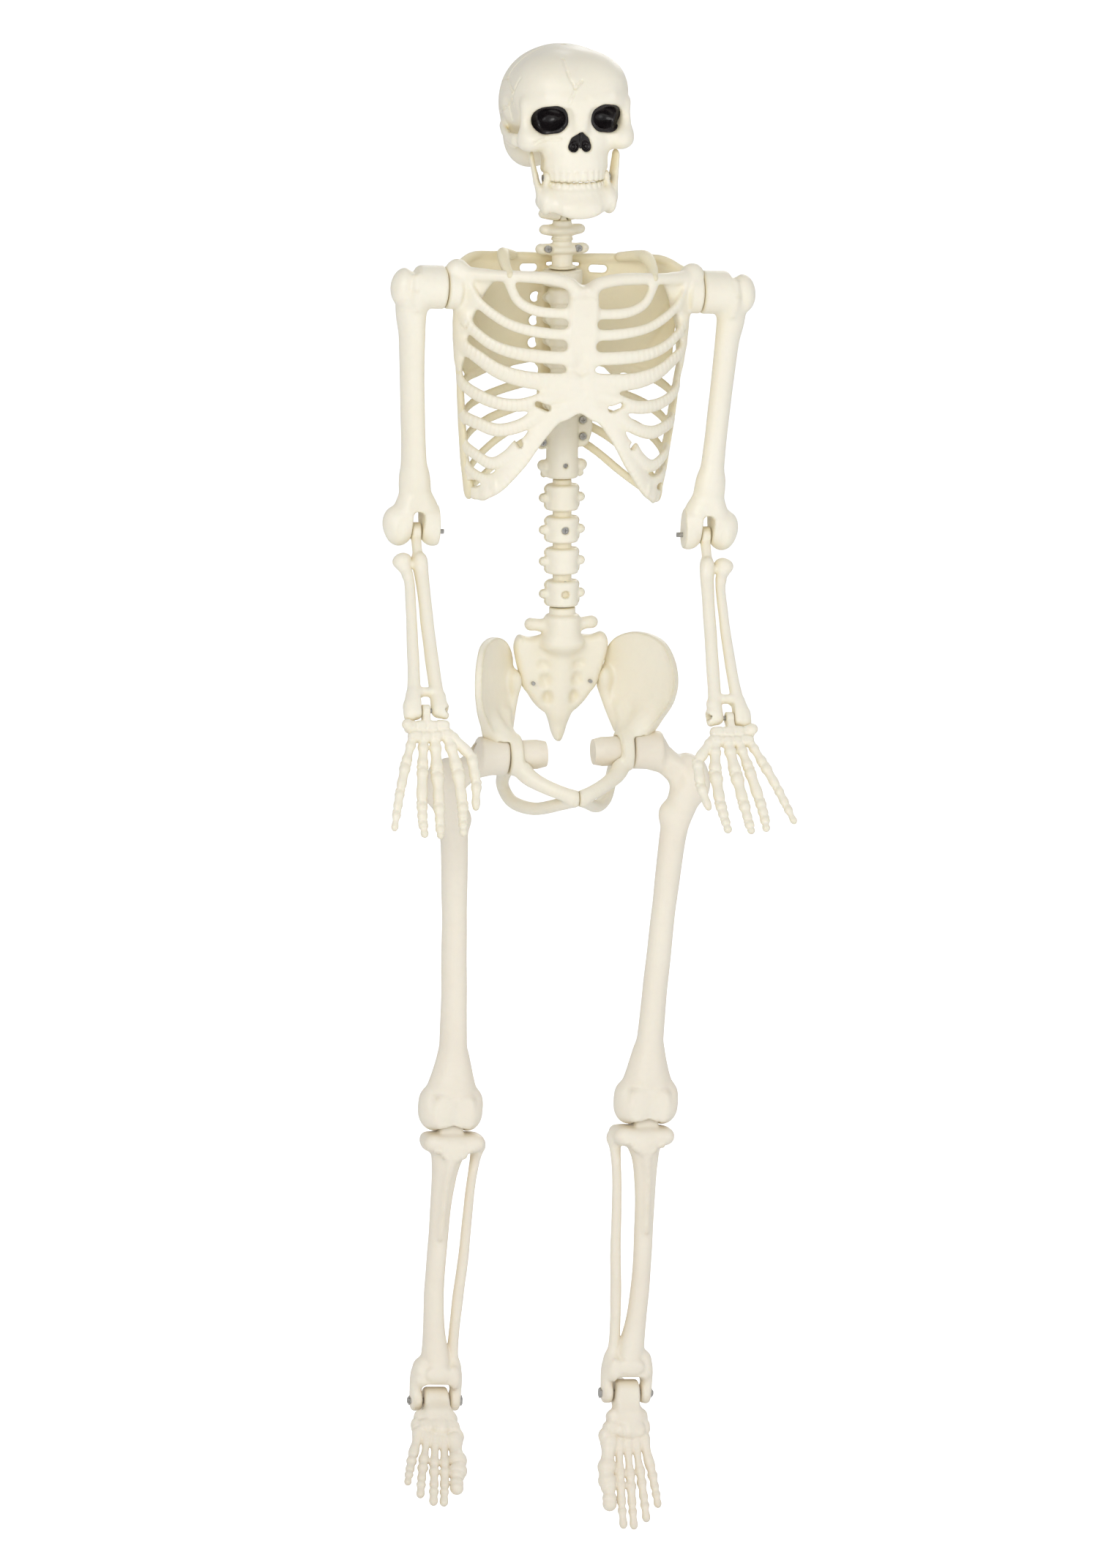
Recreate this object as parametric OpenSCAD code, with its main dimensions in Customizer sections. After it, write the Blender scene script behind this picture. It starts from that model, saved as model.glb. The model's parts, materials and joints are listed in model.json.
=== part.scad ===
// Posable hanging skeleton figure, life-size plastic decoration.
// Millimetres, +Z up. The origin is the mouth of the hanging hole in the crown.
// The figure faces -Y, so its left side is at +X.

/* [Skull] */
// Width of the cranium across the temples
skull_w = 128; // [122:1:134]
// Length of the cranium from brow to back
skull_l = 162; // [156:1:168]
// Wall thickness of the hollow mouldings
wall = 3; // [2.5:0.5:4]
// Radius of the hanging hole in the crown
hang_r = 2.5; // [2:0.25:3]
// Drop from the crown to the jaw screws
jaw_drop = 129; // [127:1:131]
// Drop from the crown to the head hinge
nod_drop = 174; // [173:1:176]

/* [Trunk] */
// Drop from the crown to the neck joint line
neck_drop = 230; // [229:1:232]
// Drop from the crown to the waist joint line
waist_drop = 578; // [574:1:584]
// Distance of the shoulder faces from the middle
shoulder_x = 134; // [130:1:138]
// Drop from the crown to the shoulder axis
shoulder_drop = 248; // [246:1:250]
// Sideways roll of the rib cage on the spine
chest_roll = 3; // [0:0.5:4]

/* [Arms] */
// Shoulder axis to elbow pin
upper_arm = 250; // [240:1:260]
// Elbow pin to wrist pin
forearm = 201; // [195:1:207]
// Bend of the right elbow in the rest pose
right_bend = 34; // [15:1:40]
// Bend of the left elbow in the rest pose
left_bend = 31; // [15:1:40]
// Bend of the right wrist in the rest pose
right_wrist_bend = -5; // [-10:1:15]
// Bend of the left wrist in the rest pose
left_wrist_bend = 10; // [-10:1:15]

/* [Legs] */
// Distance of the hip joints from the middle
hip_x = 78; // [76:1:80]
// Drop from the crown to the hip axis
hip_drop = 725; // [720:1:730]
// Hip axis to knee pin
thigh = 371; // [360:1:385]
// Knee pin to ankle bolt
shin = 302; // [290:1:315]
// Sideways lean of both legs below the hips
leg_lean = 3.3; // [0:0.1:4]
// Angle of the right foot from straight down
right_foot_angle = 54; // [20:1:60]
// Angle of the left foot from straight down
left_foot_angle = 25; // [20:1:60]

/* [Joints] */
// Radius of the elbow and wrist pins
pin_r = 2.5; // [2:0.25:3]
// Radius of the knee pins
knee_r = 4; // [3:0.5:5]
// Radius of the ankle bolts
bolt_r = 3; // [2.5:0.25:3.5]
// Radial clearance of every pin and peg in its hole
clearance = 0.05; // [0.03:0.01:0.09]

/* [Hidden] */
$fn = 48;

left = 1;
right = -1;
gap = 0.2;           // air between neighbouring mouldings
far = 400;           // larger than any piece, for cutting planes
ivory = [0.94, 0.92, 0.85];
tan_ivory = [0.90, 0.86, 0.72];
gloss_black = [0.03, 0.03, 0.03];
steel = [0.7, 0.71, 0.73];

// ---------------------------------------------------------------- helpers

// A tapered round bar from point a to point b.
module bar(a, b, ra, rb) {
    d = b - a;
    len = norm(d);
    translate(a)
        rotate([0, acos(d[2] / len), atan2(d[1], d[0])])
            cylinder(h = len, r1 = ra, r2 = rb);
}

module ball(p, r) {
    translate(p) sphere(r = r);
}

// A bone along a list of [point, radius] stations, as bars joined by balls.
module bone(stations) {
    for (i = [0 : len(stations) - 2])
        bar(stations[i][0], stations[i + 1][0], stations[i][1], stations[i + 1][1]);
    for (i = [1 : len(stations) - 2])
        ball(stations[i][0], stations[i][1] * 1.02);
}

// A round bar along X, centred on the axis through p.
module axle(p, r, length) {
    translate(p) rotate([0, 90, 0]) cylinder(h = length, r = r, center = true);
}

// A rod along X from x0 to x1.
module rod_x(x0, x1, r, y = 0, z = 0) {
    translate([x0, y, z]) rotate([0, 90, 0]) cylinder(h = x1 - x0, r = r);
}

// A rod along Y from y0 to y1.
module rod_y(y0, y1, r, x = 0, z = 0) {
    translate([x, y0, z]) rotate([-90, 0, 0]) cylinder(h = y1 - y0, r = r);
}

// A soft strand through a list of points, for the ribs, as one chain of hulls.
module strand(points, r) {
    for (i = [0 : len(points) - 2])
        hull() {
            translate(points[i]) sphere(r = r, $fn = 8);
            translate(points[i + 1]) sphere(r = r, $fn = 8);
        }
}

module mirror_x(side) {
    mirror([side < 0 ? 1 : 0, 0, 0]) children();
}

module both_sides() {
    children();
    mirror([1, 0, 0]) children();
}

// Countersunk cross-head screw along +Y, its head at the origin.
module cross_screw(length, r = 2, head_r = 3.6) {
    difference() {
        union() {
            rod_y(0, length, r);
            rod_y(-1.6, 0, head_r);
        }
        translate([-head_r * 0.6, -2, -0.4]) cube([head_r * 1.2, 1.4, 0.8]);
        translate([-0.4, -2, -head_r * 0.6]) cube([0.8, 1.4, head_r * 1.2]);
    }
}

// ----------------------------------------------------------------- frames

// The rib cage and the arms roll about this height on the spine.
chest_pivot = 330;
spine_y = 6;
shoulder_y = -22;
elbow_dx = 18;
wrist_dx = 8;
hip_y = -24;
knee_shift = [25, 4];
ankle_shift = [-2, 5];

module chest_frame() {
    translate([0, 0, -chest_pivot])
        rotate([0, chest_roll, 0])
            translate([0, 0, chest_pivot])
                children();
}

// Arm and leg frames have +X away from the body on both sides.
module arm_frame(side) {
    chest_frame()
        mirror_x(side)
            translate([shoulder_x, shoulder_y, -shoulder_drop])
                children();
}

module forearm_frame(side) {
    bend = side > 0 ? left_bend : right_bend;
    arm_frame(side)
        translate([elbow_dx, 0, -upper_arm])
            rotate([-bend, 0, 0])
                children();
}

module hand_frame(side) {
    forearm_frame(side)
        translate([wrist_dx, 0, -forearm])
            rotate([side > 0 ? -left_wrist_bend : -right_wrist_bend, 0, 0])
                children();
}

module hip_frame(side) {
    mirror_x(side)
        translate([hip_x, hip_y, -hip_drop])
            children();
}

module leg_frame(side) {
    hip_frame(side)
        rotate([0, side * leg_lean, 0])
            children();
}

module knee_frame(side) {
    leg_frame(side)
        translate([knee_shift[0], knee_shift[1], -thigh])
            children();
}

module ankle_frame(side) {
    angle = side > 0 ? left_foot_angle : right_foot_angle;
    knee_frame(side)
        translate([ankle_shift[0], ankle_shift[1], -shin])
            rotate([-angle, 0, 0])
                children();
}

// ------------------------------------------------------------------ skull

skull_part_y = 26;
base_z = -122;
eye_x = 29;
eye_z = -67;
jaw_y = -52;
cranium_z = -62;
face_front = -72;

module cranium(grow) {
    front_r = 59 + grow;
    rear_r = 58 + grow;
    side_r = 52 + grow;
    hull() {
        translate([0, -skull_l / 2 + 62, cranium_z]) sphere(r = front_r, $fn = 32);
        translate([0, skull_l / 2 - 55, cranium_z]) sphere(r = rear_r, $fn = 32);
        translate([skull_w / 2 - 52, 8, cranium_z + 2]) sphere(r = side_r, $fn = 32);
        translate([52 - skull_w / 2, 8, cranium_z + 2]) sphere(r = side_r, $fn = 32);
    }
}

module upper_jaw() {
    translate([0, 0, -126])
        linear_extrude(38)
            union() {
                translate([0, face_front + 26]) circle(r = 26);
                translate([-26, face_front + 26]) square([52, 26]);
            }
}

module tooth_row(z, r, count, height) {
    for (i = [0 : count - 1]) {
        a = -75 + 150 * i / (count - 1);
        translate([0, face_front + 26, z])
            rotate([0, 0, a])
                translate([-2.4, -r, 0])
                    cube([4.8, 4, height]);
    }
}

module cheekbones() {
    both_sides() {
        hull() {
            ball([30, -56, -94], 9, $fn = 16);
            ball([53, -38, -92], 8, $fn = 16);
        }
        hull() {
            ball([53, -38, -92], 8, $fn = 16);
            ball([59, 4, -86], 4, $fn = 16);
        }
    }
}

eye_r = 17;
insert_back = -40.5;

module nose_outline(extra) {
    polygon([[-12 - extra, -extra], [12 + extra, -extra], [3 + extra, 22 + extra], [-3 - extra, 22 + extra]]);
}

module nose_prism(back, depth, extra) {
    translate([0, back, -100])
        rotate([90, 0, 0])
            linear_extrude(depth)
                nose_outline(extra);
}

module skull_openings() {
    for (s = [left, right])
        rod_y(-100, insert_back + 0.5, eye_r, s * eye_x, eye_z);
    nose_prism(insert_back + 0.5, 60, 0);
}

module skull_front() color(ivory) difference() {
    union() {
        difference() {
            union() {
                cranium(0);
                cheekbones();
            }
            cranium(-wall);
            translate([-far / 2, skull_part_y, -far]) cube([far, far, 2 * far]);
        }
        upper_jaw();
        tooth_row(-132, 27, 13, 7);
        translate([-26, jaw_y - 6, -136]) cube([52, 12, 14]);
        translate([0, spine_y, base_z]) cylinder(h = 12, r = 14);
        translate([0, 0, -9]) cylinder(h = 9, r = 6);
    }
    skull_openings();
    translate([0, 0, -20]) cylinder(h = 21, r = hang_r);
    rod_x(-40, 40, 2 + clearance, jaw_y, -jaw_drop);
}

module skull_rear() color(ivory) difference() {
    cranium(0);
    cranium(-wall);
    translate([-far / 2, skull_part_y + gap - far, -far]) cube([far, far, 2 * far]);
}

// One glossy moulding behind the face: two eye cups and a nose wedge on a common bridge.
module eye_nose_insert() color(gloss_black) difference() {
    union() {
        for (s = [left, right])
            rod_y(-62, insert_back, eye_r - 0.4, s * eye_x, eye_z);
        translate([-eye_x + 6, insert_back - 3.5, eye_z - 5]) cube([2 * eye_x - 12, 3.5, 10]);
        translate([-4, insert_back - 3.5, -84]) cube([8, 3.5, 84 + eye_z]);
        nose_prism(insert_back, 24, -0.4);
    }
    for (s = [left, right])
        ball([s * eye_x, -62, eye_z], eye_r - 3);
}

// The lug under the skull, shaped as the first neck vertebra.
atlas_top = nod_drop - 8;
tongue_half = 4;

module atlas() color(ivory) difference() {
    union() {
        translate([0, spine_y, -atlas_top - 2]) cylinder(h = atlas_top + 2 + base_z - gap, r = 11);
        translate([-17, spine_y - 11, -atlas_top - 15]) cube([34, 22, 15]);
        for (s = [left, right])
            translate([s * 17, spine_y, -atlas_top - 12]) cylinder(h = 9, r = 7);
    }
    translate([-tongue_half - 0.3, spine_y - 20, -atlas_top - 16]) cube([2 * tongue_half + 0.6, 40, 17.5]);
    rod_x(-40, 40, 2.5 + clearance, spine_y, -nod_drop);
}

module head_pin() color(steel)
    axle([0, spine_y, -nod_drop], 2.5, 46);

// -------------------------------------------------------------------- jaw

jaw_top = -146;
jaw_inner = 27.3;
jaw_outer = 33.5;
jaw_front_y = -82;

module jaw_outline(r) {
    hull() {
        translate([0, jaw_front_y + 15 + jaw_outer - r]) circle(r = 15);
        translate([-r, -54]) square([2 * r, 4]);
    }
    translate([-r, -54]) square([2 * r, 28]);
}

module jaw() color(ivory) difference() {
    union() {
        translate([0, 0, -169])
            linear_extrude(jaw_top + 169)
                difference() {
                    jaw_outline(jaw_outer);
                    jaw_outline(jaw_inner);
                    translate([-jaw_inner, -32]) square([2 * jaw_inner, 10]);
                }
        both_sides()
            translate([jaw_inner, 0, 0])
                rotate([90, 0, 90])
                    linear_extrude(jaw_outer - jaw_inner)
                        polygon([[-64, -152], [-30, -152], [-31, -128], [-38, -118], [-46, -118], [-54, -122],
                                 [-62, -126]]);
        translate([0, -3.5, 0]) tooth_row_lower();
    }
    rod_x(-40, 40, 2 + clearance, jaw_y, -jaw_drop);
}

module tooth_row_lower() {
    for (i = [0 : 8]) {
        a = -44 + 11 * i;
        translate([0, face_front + 26, jaw_top - 1])
            rotate([0, 0, a])
                translate([-2.2, -29, 0])
                    cube([4.4, 5, 13.2]);
    }
}

module jaw_screws() color(steel)
    both_sides()
        translate([jaw_outer + 0.1, jaw_y, -jaw_drop])
            rotate([0, 0, 90])
                cross_screw(18);

// ------------------------------------------------------------------- neck

peg_r = 8;
collar_r = 20;
clamp_drop = neck_drop - 20;

module neck_body() {
    translate([0, spine_y, -neck_drop + 0.2]) {
        cylinder(h = 3, r = 14);
        cylinder(h = 42, r = 10);
        translate([0, 0, 15]) cylinder(h = 12, r = 13);
        translate([0, 0, 33]) cylinder(h = 10, r = 13);
    }
    for (s = [left, right]) {
        rod_x(min(0, s * 27), max(0, s * 27), 5.5, spine_y, -clamp_drop + 1);
        rod_x(min(0, s * 23), max(0, s * 23), 4.5, spine_y, -clamp_drop + 19);
    }
    translate([0, spine_y, -neck_drop - 12]) cylinder(h = 13, r = peg_r);
    translate([0, spine_y, -neck_drop - 15]) cylinder(h = 3.5, r = peg_r + 3);
}

module neck_screw_holes(r) {
    for (s = [left, right])
        rod_y(-20, 30, r, s * 16, -clamp_drop + 1);
}

module neck_front() color(ivory) difference() {
    neck_body();
    translate([-far / 2, spine_y - gap / 2, -far]) cube([far, far, 2 * far]);
    neck_screw_holes(2 + clearance);
    for (s = [left, right])
        rod_y(-20, spine_y - 4.6, 4, s * 16, -clamp_drop + 1);
}

module neck_rear() color(ivory) difference() {
    union() {
        difference() {
            neck_body();
            translate([-far / 2, spine_y + gap / 2 - far, -far]) cube([far, far, 2 * far]);
        }
        translate([-tongue_half, spine_y, -nod_drop])
            rotate([0, 90, 0])
                cylinder(h = 2 * tongue_half, r = 8);
        translate([-tongue_half, spine_y + gap / 2, -neck_drop + 40])
            cube([2 * tongue_half, 7, neck_drop - nod_drop - 40]);
    }
    neck_screw_holes(2 + clearance);
    rod_x(-40, 40, 2.5 + clearance, spine_y, -nod_drop);
}

module neck_screws() color(steel)
    for (s = [left, right])
        translate([s * 16, spine_y - 4.65, -clamp_drop + 1])
            cross_screw(8);

// ----------------------------------------------------------------- thorax

block_top = 380;
block_bottom = 445;
block_r = 16;

module thoracic_body() difference() {
    union() {
        translate([0, spine_y, -neck_drop - 18]) cylinder(h = 18, r = collar_r);
        translate([0, spine_y, -block_top]) cylinder(h = block_top - neck_drop - 10, r = 12);
        translate([0, spine_y, -block_bottom]) cylinder(h = block_bottom - block_top, r = block_r);
        translate([-26, spine_y - 3, -412]) cube([52, 6, 32]);
        for (s = [left, right])
            rod_x(min(0, s * 21), max(0, s * 21), 5, spine_y, -432);
    }
    translate([0, spine_y, -neck_drop - 12]) cylinder(h = 13, r = peg_r + clearance);
    translate([0, spine_y, -neck_drop - 15.3]) cylinder(h = 4.1, r = peg_r + 3.3);
    for (p = flange_screws)
        rod_y(-20, 40, 2 + clearance, p[0], p[1]);
    rod_y(-20, 40, 2 + clearance, 0, block_screw_z);
    rod_y(-20, spine_y - 12, 4, 0, block_screw_z);
}

flange_screws = [[21, -386], [21, -403], [-21, -408]];
block_screw_z = -431;

module thoracic_front() color(ivory) difference() {
    thoracic_body();
    translate([-far / 2, spine_y - gap / 2, -2 * far]) cube([far, far, 4 * far]);
}

module thoracic_rear() color(ivory) difference() {
    thoracic_body();
    translate([-far / 2, spine_y + gap / 2 - far, -2 * far]) cube([far, far, 4 * far]);
}

module ribcage_screws() color(steel) {
    for (p = flange_screws)
        translate([p[0], spine_y - 3.1, p[1]])
            cross_screw(18);
    translate([0, spine_y - 12.05, block_screw_z])
        cross_screw(22);
}

// Rib cage half widths and front depth along its height, each by height below the crown.
rib_side = [[236, 122], [300, 119], [345, 113], [386, 109], [425, 104], [458, 97]];
cage_part_y = -22;
cage_back_y = 44;

function side_at(z) = lookup(-z, rib_side);

// One front rib: it leaves the breastbone at inner and curves back to the side wall at outer_z.
function front_rib(inner, outer_z, steps = 6) = [
    for (i = [0 : steps])
        let (t = 90 * i / steps, side = side_at(outer_z))
            [inner[0] + (side - 3 - inner[0]) * sin(t),
             inner[1] + (cage_part_y + 3.5 - inner[1]) * (1 - cos(t)),
             inner[2] + (outer_z - inner[2]) * (1 - cos(t))]
];

front_ribs = [
    [[16, -68, -266], -244], [[16, -70, -286], -256], [[16, -71, -309], -272], [[16, -73, -333], -305],
    [[24, -70, -354], -341], [[44, -63, -370], -374], [[57, -58, -389], -401], [[66, -53, -411], -425]
];

rib_margin = [[5, -73, -362], [36, -66, -378], [52, -60, -410], [78, -45, -448], [93, -30, -458]];
clavicle = [[0, -64, -243], [30, -61, -238], [70, -50, -231], [104, -35, -229], [116, -26.5, -236]];

// Keeps the moulded cage clear of the round shoulder sockets.
module socket_room() {
    rod_x(shoulder_x - 23, shoulder_x + 8, 22.3, shoulder_y, -shoulder_drop);
}

module ribcage_front() color(ivory) chest_frame() difference() {
    union() {
        both_sides() {
            for (rib = front_ribs)
                strand(front_rib(rib[0], rib[1]), 4);
            strand(rib_margin, 5);
            strand(clavicle, 6);
            strand([for (row = rib_side) [row[1] - 4, cage_part_y - 4.4, -row[0]]], 4);
        }
        strand([[0, -66, -246], [0, -69, -290], [0, -73, -352]], 8);
        translate([-15, -74, -352]) cube([30, 7, 106]);
    }
    both_sides() socket_room();
    translate([-far / 2, cage_part_y, -far]) cube([far, far, far]);
    translate([-far / 2, cage_part_y, -2 * far]) cube([far, far, far + 1]);
}

// One rear rib runs from the spine plate out and down to the side wall.
function rear_rib(inner, outer_z, steps = 5) = [
    for (i = [0 : steps])
        let (t = 90 * i / steps, side = side_at(outer_z))
            [inner[0] + (side - 3 - inner[0]) * sin(t),
             inner[1] + (cage_part_y + 4.6 - inner[1]) * (1 - cos(t)),
             inner[2] + (outer_z - inner[2]) * sin(t)]
];

rear_ribs = [
    [[24, cage_back_y, -300], -322], [[24, cage_back_y, -322], -352], [[24, cage_back_y, -344], -384],
    [[24, cage_back_y, -366], -412], [[24, cage_back_y - 6, -388], -438], [[24, cage_back_y - 14, -404], -456]
];

module shoulder_blade() {
    for (x = [30 : 22 : 96])
        hull()
            for (dx = [0, 22], z = [-232, -310 + x / 3]) {
                t = asin(min(0.95, (x + dx) / 122));
                translate([x + dx, cage_back_y - (cage_back_y - 2) * (1 - cos(t)), z]) sphere(r = 3, $fn = 8);
            }
}

module ribcage_rear() color(tan_ivory) difference() {
    chest_frame() difference() {
        union() {
            both_sides() {
                for (rib = rear_ribs)
                    strand(rear_rib(rib[0], rib[1]), 4);
                shoulder_blade();
                strand([[22, cage_back_y, -236], [22, cage_back_y, -300], [22, cage_back_y, -366],
                        [21, cage_back_y - 18, -408]], 5);
                strand([for (row = rib_side) [row[1] - 4, cage_part_y + 4.6, -row[0]]], 4);
                strand([[96, 26, -236], [116, -12, -236]], 6);
            }
            translate([-24, cage_back_y - 3, -362]) cube([48, 5, 128]);
            translate([-26, spine_y + 3.4, -412]) cube([52, 8, 30]);
            for (s = [left, right])
                hull() {
                    translate([s * 22, spine_y + 8, -386]) sphere(r = 4, $fn = 8);
                    translate([s * 22, cage_back_y, -352]) sphere(r = 4, $fn = 8);
                }
        }
        both_sides() socket_room();
        translate([-far / 2, cage_part_y + gap - far, -2 * far]) cube([far, far, 4 * far]);
    }
    for (p = flange_screws)
        rod_y(-20, 60, 3, p[0], p[1]);
    translate([0, spine_y, -block_top - 40]) cylinder(h = 60, r = 16.6);
}

module shoulder_socket(side) color(ivory) chest_frame() mirror_x(side)
    difference() {
        rod_x(shoulder_x - 14, shoulder_x - 0.4, 22, shoulder_y, -shoulder_drop);
        rod_x(shoulder_x - 20, shoulder_x + 1, 9 + clearance, shoulder_y, -shoulder_drop);
    }

module shoulder_socket_left() shoulder_socket(left);
module shoulder_socket_right() shoulder_socket(right);

// ------------------------------------------------------------ lumbar spine

vertebra_tops = [452, 485, 518, 551];
vertebra_h = 26;

module lumbar_body() difference() {
    union() {
        translate([0, spine_y, -waist_drop + 6]) cylinder(h = waist_drop - block_bottom - 6.2, r = 9.6);
        for (top = vertebra_tops) {
            translate([0, spine_y, -top - vertebra_h]) cylinder(h = vertebra_h, r = 16);
            for (s = [left, right])
                rod_x(min(0, s * 22), max(0, s * 22), 4.5, spine_y, -top - 12);
        }
    }
    translate([0, spine_y, -waist_drop - 1]) cylinder(h = 16, r = peg_r + clearance);
    translate([0, spine_y, -waist_drop + 14.7]) cylinder(h = 4.1, r = peg_r + 3.3);
    for (z = lumbar_screw_z) {
        rod_y(-20, 40, 2 + clearance, 0, z);
        rod_y(-20, spine_y - 12, 4, 0, z);
    }
}

lumbar_screw_z = [-498, -554];

module lumbar_front() color(ivory) difference() {
    lumbar_body();
    translate([-far / 2, spine_y - gap / 2, -2 * far]) cube([far, far, 4 * far]);
}

module lumbar_rear() color(ivory) difference() {
    lumbar_body();
    translate([-far / 2, spine_y + gap / 2 - far, -2 * far]) cube([far, far, 4 * far]);
}

module lumbar_screws() color(steel)
    for (z = lumbar_screw_z)
        translate([0, spine_y - 12.05, z])
            cross_screw(20);

// ----------------------------------------------------------------- pelvis

sacrum_outline = [
    [-18, -608], [18, -608], [24, -617], [44, -617], [48, -628], [43, -646], [33, -670], [21, -690],
    [11, -702], [5, -719], [-5, -719], [-11, -702], [-21, -690], [-33, -670], [-43, -646], [-48, -628],
    [-44, -617], [-24, -617]
];
tab_z = -657;

module sacrum() color(ivory) difference() {
    union() {
        translate([0, spine_y + 8, 0]) rotate([90, 0, 0]) linear_extrude(18) polygon(sacrum_outline);
        translate([0, spine_y, -611]) cylinder(h = 25, r = 18);
        translate([0, spine_y, -600]) cylinder(h = 600 - waist_drop - 0.3, r = 13.3);
        for (s = [left, right])
            rod_x(min(0, s * 31), max(0, s * 31), 6, spine_y, -597);
        translate([0, spine_y, -waist_drop - 5]) cylinder(h = 20, r = peg_r);
        translate([0, spine_y, -waist_drop + 15]) cylinder(h = 3.5, r = peg_r + 3);
    }
    for (s = [left, right])
        rod_y(-5, 40, 2 + clearance, s * 30, tab_z);
}

// Angle of each hip blade to the side, seen from above.
blade_turn = -56;

module hip_bone(side) color(ivory) mirror_x(side) difference() {
    union() {
        translate([50, 20, 0])
            rotate([0, 0, blade_turn])
                rotate([90, 0, 0])
                    translate([0, 0, -3])
                        linear_extrude(6)
                            polygon([[0, -650], [2, -625], [18, -611], [45, -606], [76, -612],
                                     [94, -634], [97, -652],
                                     [88, -668], [66, -706], [40, -716], [24, -692], [4, -670]]);
        bar([76, -20, -698], [59, hip_y, -hip_drop + 6], 8, 14);
        rod_x(52, 65, 20, hip_y, -hip_drop);
        bar([57, hip_y - 10, -hip_drop - 10], [34, -50, -752], 9, 7);
        ball([34, -50, -752], 7.1);
        bar([34, -50, -752], [0, -63, -764], 7, 8);
        bar([58, hip_y + 8, -hip_drop - 8], [57, 28, -764], 9, 8);
        ball([57, 28, -764], 8.1);
        bar([57, 28, -764], [48, 14, -779], 8, 7);
        ball([48, 14, -779], 7.1);
        bar([48, 14, -779], [30, -14, -781], 7, 6.5);
        ball([30, -14, -781], 6.6);
        bar([30, -14, -781], [6, -56, -769], 6.5, 6);
        translate([24, spine_y + 8 + gap, tab_z - 7]) cube([32, 5, 14]);
    }
    rod_x(40, 70, 12 + clearance, hip_y, -hip_drop);
    rod_x(20, 52, 16, hip_y, -hip_drop);
    rod_x(65, 90, 22, hip_y, -hip_drop);
    rod_y(-5, 40, 2 + clearance, 30, tab_z);
    translate([gap / 2 - far, -far / 2, -2 * far]) cube([far, far, 4 * far]);
}

module hip_bone_left() hip_bone(left);
module hip_bone_right() hip_bone(right);

module pelvis_screws() color(steel)
    for (s = [left, right])
        translate([s * 30, spine_y + 13.5, tab_z])
            rotate([0, 0, 180])
                cross_screw(14);

// -------------------------------------------------------------------- arms

humerus_stations = [
    [[30, 0, -8], 15], [[29, 0, -55], 12.5], [[28, 0, -100], 10.8], [[21, 0, -177], 11], [[18, 0, -220], 14],
    [[18, 0, -238], 17]
];

module shoulder_hub(side) color(ivory) arm_frame(side) {
    rod_x(-14.2, 17, 9);
    rod_x(-18, -14.2, 14);
}

module humerus(side) color(ivory) arm_frame(side) difference() {
    union() {
        rod_x(0.2, 32, 22);
        ball([36, 0, 1], 14);
        bone(humerus_stations);
        axle([elbow_dx, 0, -upper_arm], 13.5, 60);
    }
    rod_x(-1, 17.3, 9 + clearance);
    translate([elbow_dx - 5.5, -30, -upper_arm - 20]) cube([11, 60, 42]);
    axle([elbow_dx, 0, -upper_arm], pin_r + clearance, 80);
}

module elbow_pin(side) color(steel) arm_frame(side)
    axle([elbow_dx, 0, -upper_arm], pin_r, 59);

wrist_ear = 4.6;

module forearm_bones(side) color(ivory) forearm_frame(side) difference() {
    union() {
        axle([0, 0, 0], 9, 10.4);
        bar([0, 0, -4], [0, 0, -34], 5, 5);
        bone([[[0, 0, -32], 6.2], [[-2, 0, -80], 4.5], [[-3, 0, -150], 5.5], [[-3, 0, -198], 7]]);
        bone([[[17, 0, -36], 8.6], [[15, 0, -66], 4.6], [[17, 0, -140], 5], [[18, 0, -198], 7.5]]);
        ball([17, 0, -34], 9);
        rod_x(0, 17, 4, 0, -38);
        rod_x(-4, 20, 4, 0, -178);
        rod_x(wrist_dx - 19, wrist_dx - wrist_ear, 8, 0, -forearm);
        rod_x(wrist_dx + wrist_ear, wrist_dx + 19, 9, 0, -forearm);
    }
    translate([wrist_dx - wrist_ear, -20, -forearm - 20]) cube([2 * wrist_ear, 40, 30]);
    axle([0, 0, 0], pin_r + clearance, 40);
    axle([wrist_dx, 0, -forearm], pin_r + clearance, 60);
}

module wrist_pin(side) color(steel) hand_frame(side)
    axle([0, 0, 0], pin_r, 38);

// Each finger from the wrist outward: knuckle places across and along the hand.
fingers = [
    [[-12, -16], [-28, -26], [-42, -50], [-44, -78], [-40, -107]],
    [[-12, -20], [-20, -34], [-26, -62], [-27, -100], [-24, -134]],
    [[-3, -20], [-6, -34], [-4, -70], [-2, -105], [0, -136]],
    [[5, -20], [6, -34], [11, -66], [16, -106], [16, -134]],
    [[12, -18], [18, -32], [30, -66], [40, -97], [47, -126]]
];
finger_r = [5, 4.4, 4.6, 4, 3];
// The hands and the feet hang plumb below the leaning limbs.
hand_lean = 2.5;

module hand(side) color(ivory) hand_frame(side) difference() {
    union() {
        axle([0, 0, 0], 6.5, 2 * wrist_ear - 0.6);
        translate([-wrist_ear + 0.3, -5, -14]) cube([2 * wrist_ear - 0.6, 10, 14]);
        rotate([0, -side * hand_lean, 0]) {
            translate([-23, -6, -27]) cube([46, 12, 15]);
            for (finger = fingers) {
                bone([for (i = [0 : 4]) [[finger[i][0], 0, finger[i][1]], finger_r[i]]]);
                ball([finger[4][0], 0, finger[4][1]], finger_r[4] * 1.1);
            }
        }
    }
    axle([0, 0, 0], pin_r + clearance, 40);
}

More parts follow.
